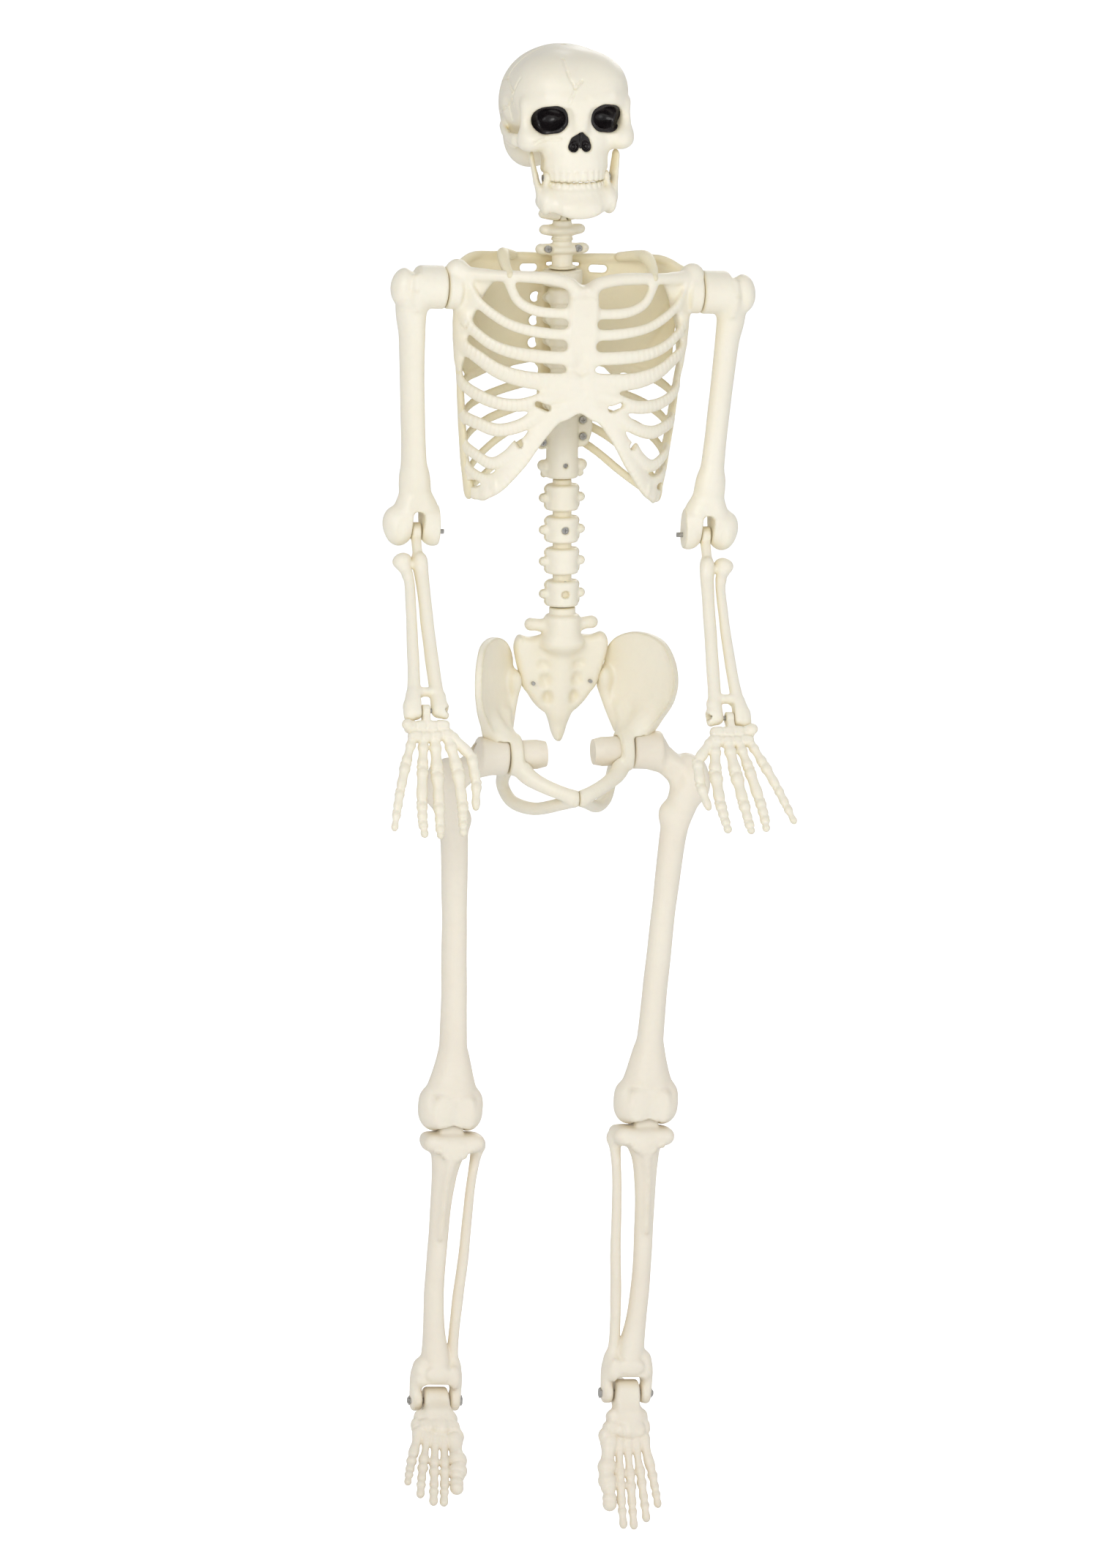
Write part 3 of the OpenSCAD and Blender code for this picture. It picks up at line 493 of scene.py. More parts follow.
def skull():
    head = Clay((-72, -92, -152), (72, 92, 8), 1.0)
    head.add(egg((0, 6, -55), (63, 77, 55)))
    head.add(egg((0, 44, -70), (54, 40, 45)), soft=14)
    head.add(egg((0, -22, -50), (58, 53, 46)), soft=12)
    head.add(*both(egg, (22, -34, -38), (33, 36, 31)), soft=10)
    head.add(*both(egg, (31, 24, -95), (25, 34, 32)), soft=11)
    # Underside of the brain case, down to the neck.
    head.add(egg((0, 22, -104), (36, 44, 20)), soft=12)
    head.add(slab((0, -22, -108), (17, 30, 17), 8), soft=10)
    # Face.
    head.add(egg((0, -40, -88), (43, 30, 30)), soft=10)
    head.add(*both(chain, [(49, -50, -54), (32, -64, -47), (12, -69, -50), (0, -68, -54)], [6, 7, 6.5, 5.5]), soft=9)
    head.add(*both(chain, [(50, -50, -54), (52.5, -50, -68), (51, -51, -82)], [5, 4.6, 7]), soft=7)
    head.add(*both(egg, (45, -50, -90), (16, 15, 12), turn=(0, 12, 28)), soft=8)
    head.add(*both(chain, [(50, -42, -92), (58, -28, -92), (61, -12, -91), (61, 4, -87), (58, 18, -83)],
                   [8, 6.4, 5, 4.6, 6], (1, -0.2, 0.1), 1.5), soft=4)
    head.add(slab((0, -66, -70), (9, 9, 14), 6, (14, 0, 0)), soft=7)
    head.add(egg((0, -72, -77), (6, 6, 9), (18, 0, 0)), soft=5)
    head.add(egg((0, -45, -108), (31, 27, 21)), soft=9)
    for z, half_width, depth in ((-104, 25, 22), (-112, 28, 24.5), (-119, 29, 25.5)):
        arch = [dental_arch(a, half_width, depth, -44) for a in range(-90, 91, 15)]
        head.add(chain([(x, y + 4, z) for x, y in arch], 6), soft=7)
    # Struts from the cheek arch down to the jaw's upright.
    head.add(*both(chain, [(59, -6, -93), (53, -22, -99), (46, -37, -104)], [6, 5.5, 5], (1, 0, 0.4), 1.7), soft=5)
    # Temples, and the hollow behind the cheek.
    head.carve(*both(egg, (73, -24, -66), (13, 24, 18), turn=(0, -8, 14)), soft=9)
    head.carve(*both(egg, (46, -24, -116), (12, 18, 19), turn=(0, 0, 8)), soft=5)
    head.carve(*both(egg, (43, -42, -112), (10, 12, 11)), soft=6)
    head.carve(*both(egg, (24, -76, -103), (6, 6, 9)), soft=6)
    head.carve(*both(egg, (14, -75, -66), (4, 5, 9)), soft=5)
    head.add(*both(chain, [(12, -57, -54), (28, -61, -50), (45, -50, -56), (49, -46, -70)], [3, 3, 3, 3]), soft=5)
    for z in (-123, -127.4):
        arch = [dental_arch(a, 27.4, 23.8, -44.4) for a in range(-88, 89, 11)]
        head.add(chain([(x, y, z) for x, y in arch], 4.4), soft=2)
    teeth(head, -126, 12.5, 1, 29, 25.5, -45, (7.6, 6.4, 6.6, 6.4, 6.4, 6.8, 6.2))
    head.carve(slab((0, -50, -140), (60, 60, 8), 0.5))
    solid = head.copy()

    # Openings for the black insert.
    sockets = Clay(head.low, head.low + np.array(head.field.shape) - 1, 1.0)
    sockets.add(*both(slab, (29.2, -56, -68.4), (17.2, 30, 14.6), 13.4, (0, 9, 0)))
    sockets.carve(*both(slab, (7, -60, -87.5), (10, 40, 7), 3, (0, -38, 0)), soft=5)
    nose = Clay(head.low, head.low + np.array(head.field.shape) - 1, 1.0)
    nose.add(*both(prism, [(0.6, -83), (4.6, -90), (6.6, -96)], [2.6, 5.2, 5.4], -92, -50), soft=1)
    nose.carve(prism([(0, -104.5), (0, -101.5)], [4, 2], -95, -45), soft=2)
    opening = np.minimum(sockets.field, nose.field)
    head.field = -smooth_min(-head.field, opening, 2.4)

    insert = solid
    skin_depth = insert.field
    eyes = np.maximum(sockets.field - 0.4, -(skin_depth + 30))
    nostrils = np.maximum(nose.field - 0.4, -(skin_depth + 16))
    insert.field = np.maximum(np.minimum(eyes, nostrils), skin_depth + 2.0)
    insert.carve(*both(egg, (29.5, -63, -68), (15.2, 15, 11.6), turn=(0, 10, 6)), soft=2)
    insert.add(*both(chain, [(19, -53, -62), (30, -50, -59.5), (40, -48, -65)], 1.8), soft=5)
    insert.carve(*both(chain, [(2.6, -72, -84), (6.4, -68, -95.5)], [2.6, 4.2]), soft=1.5)
    insert.add(chain([(0, -72, -80), (0, -70, -97)], 1.2), soft=1)
    insert.add(*both(ball, (6.6, -65.4, -96), 2.4), soft=1.2)
    insert.add(*both(ball, (4, -66, -88.5), 1.9), soft=1.2)

    # Sutures and cracks, as fine grooves.
    for line in SUTURES:
        points = [head.surface(p, (0, 4, -58)) for p in curve(line, 8)]
        head.carve(chain(points, 0.85), soft=1.8)
    head.carve(barrel((0, 0, 0), 2.5, 9, corner=0.2))
    head.rough(0.22, 11)
    part = box_mm("skull_rear")[0][1]
    piece("skull_front_shell", "skull", head.copy().cut("y", part, -1), IVORY, ["skull_front"])
    piece("skull_rear_shell", "skull", head.cut("y", part, 1), IVORY, ["skull_rear"])
    piece("socket_insert", "skull", insert, BLACK, ["eye_nose_insert"])


def on_cranium(x, z, side=-1):
    """The front (side -1) of the brain case at x, z."""
    inside = max(1 - (x / 63) ** 2 - ((z + 55) / 55) ** 2, 0.0)
    return (x, 6 + side * 77 * math.sqrt(inside), z)


SUTURES = [
    [on_cranium(-12, -14), on_cranium(-10, -28), on_cranium(-6, -38), on_cranium(-12, -50)],
    [on_cranium(2, -31), on_cranium(-6, -38)],
    [(-57, -28, -44), (-56, 2, -34), (-58, 26, -40), (-56, 44, -52)],
    [(-62, -10, -60), (-64, 12, -66), (-60, 34, -72)],
    [(-56, 2, -34), (-40, 6, -12), (-20, 4, -3)],
    [(-50, -35, -30), (-57, -28, -44), (-60, -24, -52), (-61, -30, -58)],
    [(-60, -24, -52), (-62, -10, -60), (-61, -14, -74)],
    [(50, -35, -30), (57, -28, -44), (60, -24, -52), (61, -30, -58)],
    [(60, -24, -52), (62, -10, -60), (61, -14, -74)],
    [(-20, -68, -88), (-30, -66, -90), (-38, -62, -88), (-42, -58, -89)],
    [(0, 84, -40), (14, 80, -46), (30, 74, -58), (44, 62, -72)],
    [(0, 84, -40), (-14, 80, -46), (-30, 74, -58), (-44, 62, -72)],
    [(0, 84, -40), (1, 74, -20), (-1, 55, -6), (1, 30, 0.5)],
]


def jaw():
    chin = Clay((-56, -94, -176), (56, -20, -98), 0.9)
    for z, half_width, depth, back, r, rise in ((-143, 29.5, 25.5, -46, 4.8, 0), (-149, 32, 26.5, -47, 5.4, 0),
                                                (-155, 34, 27.5, -48, 5.6, 2), (-161.5, 33, 27.5, -48, 5.6, 7)):
        arch = [(*dental_arch(a, half_width, depth, back), z + rise * math.sin(math.radians(a)) ** 2)
                for a in range(-90, 91, 12)]
        chin.add(chain([(x, y + 2, z) for x, y, z in arch], r), soft=5)
    chin.add(egg((0, -73, -160), (18, 6, 7)), soft=8)
    # Uprights, and the ears that take the screws.
    chin.add(*both(chain, [(33, -56, -155), (37, -51, -146), (40.5, -46, -130), (44, -42, -109)],
                   [11, 10, 8, 6.5], (1, 0.35, 0), 2.6), soft=5)
    chin.add(*both(barrel, (30.4, -52, -129), 6.2, 3.0, "x", 1.6), soft=2.5)
    chin.add(*both(chain, [(32, -52, -131), (32.5, -53, -146)], [5, 6], (1, 0, 0), 2), soft=4)
    chin.carve(slab((0, -32, -152), (24, 32, 34), 12), soft=4)
    chin.add(*both(egg, (32.5, -57, -150), (7, 12, 12)), soft=8)
    # Room for the upper jaw, which the ears pass on the outside.
    chin.carve(slab((0, -50, -118), (27.6, 40, 13.4), 2))
    for z in (-137, -141):
        arch = [dental_arch(a, 27, 23.4, -44.4) for a in range(-88, 89, 11)]
        chin.add(chain([(x, y, z) for x, y in arch], 4.2), soft=2)
    teeth(chin, -138, 11.5, -1, 28.6, 25, -45, (5.8, 6, 6.8, 6.8, 6.8, 7))
    chin.carve(slab((0, -60, -128.2), (26.8, 40, 4), 0.5))
    chin.add(*both(barrel, (30.4, -52, -129), 6.2, 3.0, "x", 1.6), soft=1)
    chin.carve(*both(barrel, (31, -52, -129), 2, 8, "x", 0.2))
    chin.rough(0.2, 9)
    piece("jaw_bone", "jaw", chin, IVORY, ["jaw"])


# ------------------------------------------------------------------ neck and spine

SPINE_Y = joint_mm("neck_turn")[1]


def halves(name, body, clay, nodes, material):
    """Front and rear half of a moulded column, parted at the spine's own plane."""
    piece(name + "_front_half", body, clay.copy().cut("y", SPINE_Y, -1), material, [nodes[0]])
    piece(name + "_rear_half", body, clay.cut("y", SPINE_Y, 1), material, [nodes[1]])


def vertebra(clay, z, r, half, wings, wing_r, spine=18):
    """A disc with a transverse process on each side and a spinous process behind."""
    y = SPINE_Y
    clay.add(barrel((0, y, z), r, half, corner=2.2), soft=1.5)
    clay.carve((*around((0, y, z), (r + 8, r + 8, half)), lambda px, py, pz: np.sqrt(
        (np.sqrt(px ** 2 + (py - y) ** 2) - r - 5.4) ** 2 + (0.75 * (pz - z)) ** 2) - 6), soft=2)
    for side in (-1, 1):
        clay.add(chain([(side * r * 0.5, y + 2, z - 1), (side * (wings - wing_r), y + 3, z - 1.5)],
                       [wing_r * 1.05, wing_r]), soft=4)
    clay.add(chain([(0, y + r * 0.6, z), (0, y + r + spine * 0.45, z - 3), (0, y + r + spine, z - 8)],
                   [6, 4, 4.6], (1, 0, 0), 1.5), soft=4)
    return clay


def neck():
    y = SPINE_Y
    top = Clay((-34, -24, -186), (34, 46, -118), 0.9)
    top.add(chain([(0, 6, -122), (0, y, -166)], [12, 11]))
    top.add(egg((0, y, -173), (22, 15, 7.5)), soft=4)
    top.add(*both(chain, [(8, y, -174), (19, y + 1, -173.5)], [6.5, 5.6], (0, 0, 1), 1.15), soft=3)
    top.add(chain([(0, y + 10, -173), (0, y + 22, -177)], [5, 4]), soft=4)
    top.carve(slab((0, y, -177), (4.4, 18, 9), 0.5))
    top.rough(0.15, 7)
    piece("atlas_vertebra", "skull", top, IVORY, ["atlas"])

    stack = Clay((-34, -22, -250), (34, 44, -164), 0.9)
    stack.add(slab((0, y, -176), (3.7, 7, 9), 2))
    stack.add(barrel((0, y, -186), 9.5, 6), soft=1)
    stack.add(barrel((0, y, -208), 9.6, 22), soft=1)
    for z, half, wings, wing_r in ((-190.5, 6.2, 24, 5.6), (-210.3, 6.0, 28, 6)):
        stack.add(egg((0, y, z), (19, 14.5, half)), soft=2)
        stack.add(*both(chain, [(9, y, z), (wings - wing_r, y, z + 0.8)], [wing_r * 1.1, wing_r], (0, 0, 1), 1.1), soft=3)
        stack.add(chain([(0, y + 8, z), (0, y + 24, z - 4)], [5, 4], (1, 0, 0), 1.3), soft=4)
    stack.add(barrel((0, y, -199.5), 11, 1.6, corner=0.8))
    stack.add(barrel((0, y, -221), 10.6, 8.5, corner=0.8), soft=1)
    stack.add(barrel((0, y, -228.4), 14, 1.4, corner=0.8), soft=0.6)
    stack.carve(*both(barrel, (16, y - 12.5, -209), 4.1, 8, "y", 0.4))
    stack.add(barrel((0, y, -236), 8, 9))
    piece_nodes = ("neck_front", "neck_rear")
    halves("neck", "neck", stack, piece_nodes, IVORY)


def thorax():
    y = SPINE_Y
    post = Clay((-36, -26, -450), (36, 46, -226), 1.1)
    post.add(barrel((0, y, -239), 20.6, 8, corner=2))
    post.add(barrel((0, y, -320), 12, 80), soft=2)
    for z in range(-258, -380, -22):
        vertebra(post, z, 14, 8.5, 20, 5, 14)
    post.add(plate([(-27, -380), (27, -380), (27, -410), (10, -414), (-12, -414), (-27, -412)],
                   lambda x, z: np.full_like(x + z, y), 6.5, (y - 4, y + 4)), soft=1.5)
    post.add(barrel((0, y, -412), 16.2, 33, corner=2.5), soft=1.2)
    post.add(*both(ball, (20, y, -432), 6), soft=4)
    post.add(*both(ball, (19, y + 1, -441), 3.6), soft=3)
    post.carve(chain([(0, y - 20, -431), (0, y - 12, -431)], 2.6))
    post.add(chain([(0, y + 12, -432), (0, y + 28, -440)], [6, 4.4], (1, 0, 0), 1.4), soft=4)
    post.carve(barrel((0, y, -236), 8.1, 7))
    for x, z in ((21, -386), (21, -403), (-21, -408)):
        post.carve(barrel((x, y - 10, z), 3.9, 8, "y", 0.3))
    halves("thoracic_column", "torso", post, ("thoracic_front", "thoracic_rear"), IVORY)

    stack = Clay((-36, -22, -602), (36, 46, -440), 1.0)
    stack.add(barrel((0, y, -512), 9.6, 66))
    for i, z in enumerate((-465, -498, -530.5, -564)):
        half = 13.2
        stack.add(barrel((0, y, z), 16.4, half, corner=2.2), soft=1)
        stack.carve((*around((0, y, z), (24, 24, half)), lambda px, py, pz: np.sqrt(
            (np.sqrt(px ** 2 + (py - y) ** 2) - 24) ** 2 + (0.6 * (pz - z)) ** 2) - 8.6), soft=2)
        stack.add(*both(chain, [(10, y + 1, z - 1), (19.5, y + 1, z - 0.5)], [5.6, 4.8]), soft=3.5)
        stack.add(*both(ball, (15.5, y + 2, z + 8.5), 3.2), soft=3)
        stack.add(*both(ball, (15.5, y + 2, z - 8.5), 3.2), soft=3)
        stack.add(chain([(0, y + 12, z + 2), (0, y + 32, z - 6)], [8, 5], (1, 0, 0), 1.7), soft=4)
        if i in (1, 3):
            stack.carve(barrel((0, y - 17, z), 3.8, 6, "y", 0.3))
    halves("lumbar_column", "torso", stack, ("lumbar_front", "lumbar_rear"), IVORY)


# ------------------------------------------------------------------ rib cage

CHEST = Place("shoulder_left")
CHEST.origin = joint_mm("shoulder_left") - np.array([134.0, -22.0, -248.0]) @ CHEST.axes
CAGE_Y = -22.0
SIDE_Z = [-462, -425, -386, -345, -300, -236]
SIDE_X = [97, 104, 109, 113, 119, 122]
FRONT_Z, FRONT_D = [-360, -240], [53, 44]


def cage(angle, z, lift=0.0):
    """A point on the rib cage: angle 0 is the breastbone, 90 the side and 180 the spine."""
    a = math.radians(angle)
    wide = float(np.interp(z, SIDE_Z, SIDE_X)) + lift
    deep = float(np.interp(z, FRONT_Z, FRONT_D)) if angle <= 90 else 48.0
    return (wide * math.sin(a), CAGE_Y - (deep + lift) * math.cos(a), z)


def outward(angle):
    a = math.radians(angle)
    return (math.sin(a), -math.cos(a), 0.0)


def rib(clay, path, height, thick=5.2, soft=3.0, last=None):
    """A flat rib on both sides, through (angle, z) stations."""
    rows = curve(path, 5)
    radii = np.linspace(height / 2, (last or height) / 2, len(rows))
    points = [cage(a, z) for a, z in rows]
    normals = [outward(a) for a, z in rows]
    clay.add(*both(chain, points, radii, normals, height / thick), soft=soft)


FRONT_RIBS = [
    ([(8, -267), (23, -265), (33, -256), (38, -240)], 9, 9),
    ([(7, -288), (18, -287), (34, -282), (47, -272), (60, -258), (70, -240)], 9.5, 9),
    ([(6, -312), (28, -310), (45, -304), (62, -290), (80, -272), (90, -262)], 11.5, 10),
    ([(6, -336), (28, -335), (45, -328), (61, -315), (80, -303), (90, -298)], 15.5, 11),
    ([(5, -348), (18, -353), (33, -361), (49, -360), (68, -352), (90, -341)], 11.5, 11),
    ([(20, -368), (33, -382), (48, -388), (65, -383), (90, -377)], 11.5, 11),
    ([(34, -402), (42, -415), (54, -423), (70, -415), (90, -407)], 11, 10),
    ([(47, -439), (62, -440), (78, -434), (90, -428)], 10, 9),
]
MARGIN = [(1, -357), (8, -366), (14, -371), (24, -393), (35, -419), (50, -442), (64, -451)]
CLAVICLE = [(7, -66, -241, 7.5), (18, -65, -235.5, 6.6), (38, -63, -231.5, 6.2), (67, -57, -231, 6),
            (94, -46, -232, 6.2), (112, -36, -232, 7.5), (124, -28, -231, 9)]


def front_cage():
    shell = Clay((-140, -84, -474), (140, -4, -206), 1.25)
    shell.add(slab((0, -66, -252), (14.5, 4.2, 15), 4, (2, 0, 0)))
    shell.add(slab((0, -69, -300), (15, 4.2, 52), 4, (2, 0, 0)), soft=6)
    shell.add(slab((0, -71.6, -348), (14, 4.2, 16), 4), soft=6)
    for path, near, far in FRONT_RIBS:
        rib(shell, path, near * 1.22, 6.6, 7, far * 1.22)
    rib(shell, MARGIN, 17, 6.2, 5, 21)
    shell.add(*both(shaft, CLAVICLE), soft=6)
    # Side wall from the armpit to the tip.
    wall = [(90, -258), (90, -300), (90, -341), (90, -377), (89, -407), (87, -430), (82, -452)]
    rib(shell, wall, 13, 5.4, 3.5, 15)
    tip = [cage(a, z) for a, z in ((56, -446), (66, -452), (76, -453), (84, -445), (86, -434))]
    shell.add(*both(chain, tip, [9, 10, 10, 9, 7], outward(72), 3), soft=4)
    # Shoulder blocks.
    for side in (-1, 1):
        shell.add(barrel((side * 126.5, -22, -248), 22, 6.9, "x", 2), soft=4)
        shell.add(egg((side * 117, -22, -246), (15, 18, 20)), soft=7)
        shell.add(chain([(side * 111, -27, -262), (side * 115, -25, -285), (side * 115, -24, -318)],
                        [17, 13, 8], (side, -0.3, 0), 2.1), soft=9)
        shell.add(chain([(side * 98, -38, -238), (side * 110, -30, -254)], [9, 13], (side * 0.6, -0.8, 0), 1.7), soft=8)
        shell.add(egg((side * 123, -28, -227), (10, 9, 9)), soft=6)
        shell.carve(barrel((side * 112, -22, -248), 15.5, 7.4, "x", 1))
        shell.carve(barrel((side * 127, -22, -248), 9.4, 12, "x", 0.2))
    shell.carve(egg((0, -72, -231), (7, 12, 7)), soft=5)
    # Slots in the costal margin, and small marks left by the mould.
    for a, z, lean, long in ((20, -361, 68, 8.5), (34, -398, 34, 7.5)):
        c, n = np.array(cage(a, z)), np.array(outward(a))
        t = math.radians(lean)
        along = np.array([math.cos(math.radians(a)) * math.sin(t), math.sin(math.radians(a)) * math.sin(t), math.cos(t)])
        across = np.cross(along, n)
        for side in (-1, 1):
            m = np.array([side, 1, 1])
            shell.carve(oblong(c * m, along * m, across * m, n * m, long, 3.0), soft=1.2)
    for side in (-1, 1):
        x, y, z = cage(74, -283)
        shell.carve(ring((side * x, y - 2.6, z), (side * 0.86, -0.5, 0), 4.2, 0.7), soft=0.8)
        shell.carve(egg(np.array(cage(75, -446)) * (side, 1, 1), (8, 12, 3.4), (0, side * 12, 0)), soft=1.5)
    shell.rough(0.3, 13)
    sockets = ["shoulder_socket_left", "shoulder_socket_right"]
    piece("rib_cage_front", "torso", shell, IVORY, ["ribcage_front"] + sockets, CHEST)


def oblong(centre, along, across, normal, long, r):
    """A slot through a curved sheet: rounded ends, length 2 long, half width r."""
    def distance(x, y, z):
        d = [x - centre[0], y - centre[1], z - centre[2]]
        u, v, w = (d[0] * a[0] + d[1] * a[1] + d[2] * a[2] for a in (along, across, normal))
        gap = np.maximum(np.abs(u) - (long - r), 0)
        return np.maximum(np.sqrt(gap ** 2 + v ** 2) - r, np.abs(w) - 14)
    return (*around(centre, [long + 14] * 3), distance)


def ring(centre, normal, r, tube):
    """A thin ring, for a round mark in the surface."""
    def distance(x, y, z):
        d = [x - centre[0], y - centre[1], z - centre[2]]
        w = d[0] * normal[0] + d[1] * normal[1] + d[2] * normal[2]
        flat = np.sqrt(np.maximum(d[0] ** 2 + d[1] ** 2 + d[2] ** 2 - w ** 2, 0))
        return np.sqrt((flat - r) ** 2 + w ** 2) - tube
    return (*around(centre, [r + 3] * 3), distance)


def rear_face(x, z):
    """The rear shell's middle surface."""
    inside = np.clip(1 - (x / 118) ** 2, 0.03, 1)
    return CAGE_Y + 48 * np.sqrt(inside) + 0 * z


REAR_RIBS = [
    ([(172, -322), (150, -330), (122, -341), (100, -352), (90, -358)], 10),
    ([(172, -346), (150, -356), (122, -370), (100, -384), (90, -392)], 10),
    ([(172, -368), (150, -380), (122, -396), (100, -412), (90, -420)], 9.5),
    ([(172, -386), (155, -398), (132, -420), (110, -438), (92, -450)], 9),
    ([(170, -404), (158, -416), (138, -438), (118, -452), (96, -459)], 8.5),
]


def rear_cage():
    shell = Clay((-138, -72, -470), (138, 44, -200), 1.3)
    centre_y = 26
    shell.add(slab((0, centre_y, -322), (20, 3.2, 92), 3))
    for side in (-1, 1):
        wing = [(18, -222), (50, -219), (74, -216), (88, -222), (104, -228), (113, -238), (113, -285), (109, -330),
                (92, -343), (70, -332), (46, -322), (18, -318)]
        shell.add(plate([(side * x, z) for x, z in wing], rear_face, 4.4, (-24, 30)), soft=3)
        shell.add(chain([cage(a, z) * np.array([side, 1, 1]) for a, z in
                         curve([(90, -246), (98, -232), (112, -226), (128, -219), (150, -220), (180, -222)], 4)],
                        [4.6] * 21), soft=3)
        # Hoop of the first rib: from the bump down to the collar bone.
        shell.add(shaft([(side * 75, -56, -230, 5.2), (side * 77, -42, -222, 5.4), (side * 75, -24, -214, 6.4),
                         (side * 70, -6, -214, 5.6), (side * 56, 12, -218, 4.8)]), soft=4)
        # Shoulder blade: its ridge and its edge stand proud behind.
        shell.add(shaft([(side * 34, 29, -262, 3.6), (side * 62, 26, -246, 5), (side * 92, 12, -234, 6),
                         (side * 116, -8, -232, 6)]), soft=5)
        shell.add(shaft([(side * 34, 27, -246, 3.4), (side * 36, 28, -290, 3.6), (side * 58, 24, -336, 4.6),
                         (side * 84, 12, -310, 4), (side * 108, -4, -268, 4.6)]), soft=4)
        shell.carve(barrel((side * 112, -22, -248), 15.6, 9, "x", 1))
        shell.carve(barrel((side * 127, -22, -248), 24, 8, "x", 1))
        for x0, x1, z in ((27, 46, -232),):
            shell.carve(slab(((x0 + x1) / 2 * side, 20, z), ((x1 - x0) / 2, 30, 4), 3.9), soft=1)
        # Window between the spine and the blade, beside each rib.
        for z in (-262, -286, -309):
            shell.carve(slab((side * 27.5, 25, z), (5.5, 14, 5.2), 5, (0, side * 22, 0)), soft=1)
    for path, height in REAR_RIBS:
        rib(shell, path, height, 5, 3.5)
    rib(shell, [(90, -246), (91, -300), (91, -340), (91, -380), (91, -420), (91, -446), (88, -452)], 12, 4.6, 3.5, 24)
    for z in range(-236, -410, -22):
        shell.add(egg((0, centre_y + 5, z), (9, 6, 7)), soft=4)
        shell.add(*both(chain, [(4, centre_y + 2, z), (20, centre_y + 2, z - 5)], [5, 4]), soft=4)
    shell.add(slab((0, 17, -396), (25, 9, 15), 3), soft=3)
    shell.carve(barrel((0, SPINE_Y, -340), 15.8, 120))
    shell.rough(0.35, 12)
    piece("rib_cage_rear", "torso", shell, AGED, ["ribcage_rear"], CHEST)


# ------------------------------------------------------------------ pelvis

def dome(depth, x0, z0, rx, rz, base):
    """A gently bowed face: y is base + depth at the middle, falling away at the edges."""
    return lambda x, z: base - depth * (((x - x0) / rx) ** 2 + ((z - z0) / rz) ** 2)


def sacrum():
    y = SPINE_Y
    bone = Clay((-58, -32, -730), (58, 52, -574), 1.15)
    bone.add(barrel((0, y, -582.5), 13.4, 4, corner=1))
    bone.add(barrel((0, y, -599), 18, 13, corner=3.5), soft=1.5)
    bone.add(*both(chain, [(12, y + 2, -599), (26, y + 4, -596.5), (32, y + 4, -596)], [7.5, 6.2, 6.6]), soft=4)
    bone.add(egg((0, y, -616), (23, 19, 10)), soft=6)
    outline = [(0, -606), (22, -609), (33, -610), (44, -607), (49, -617), (47, -632), (40, -655), (30, -674),
               (20, -686), (12, -692), (7, -710), (3, -719), (0, -720.5), (-3, -719), (-7, -710), (-12, -692),
               (-20, -686), (-30, -674), (-40, -655), (-47, -632), (-49, -617), (-44, -607), (-33, -610), (-22, -609)]
    bone.add(plate(outline, lambda x, z: 17 + 10 * np.clip((-606 - z) / 110, 0, 1) - 16 * ((z + 690) / 70) ** 2
                   * (z < -690) - (x / 40) ** 2 * 4, 20, (-8, 44), 8), soft=5)
    bone.add(chain([(0, 11, -612), (0, 15.5, -650), (0, 19, -688)], [12, 10, 7]), soft=14)
    bone.carve(*both(egg, (19, 5, -638), (5.5, 6, 3.6), turn=(0, -10, 0)), soft=5)
    bone.carve(*both(egg, (17.5, 8, -655), (4.6, 6, 5.5)), soft=6)
    bone.carve(*both(egg, (14, 12, -673), (3.5, 5, 5)), soft=6)
    bone.carve(*both(ball, (18.5, 6.5, -637), 1.6), soft=1)
    bone.carve(*both(ball, (17, 9, -654), 1.6), soft=1)
    for z in range(-618, -690, -17):
        bone.add(egg((0, 32, z), (7, 6, 7)), soft=4)
    # The front face closes over the tips of the rear screws.
    bone.add(*both(egg, (30, 18, -657), (8, 5, 8)), soft=7)
    # Pegs that the hip bones screw to.
    bone.add(*both(chain, [(36, 21, -652), (50, 21, -655)], 6.5), soft=3)
    bone.rough(0.25, 10)
    piece("sacrum_bone", "pelvis", bone, IVORY, ["sacrum"])


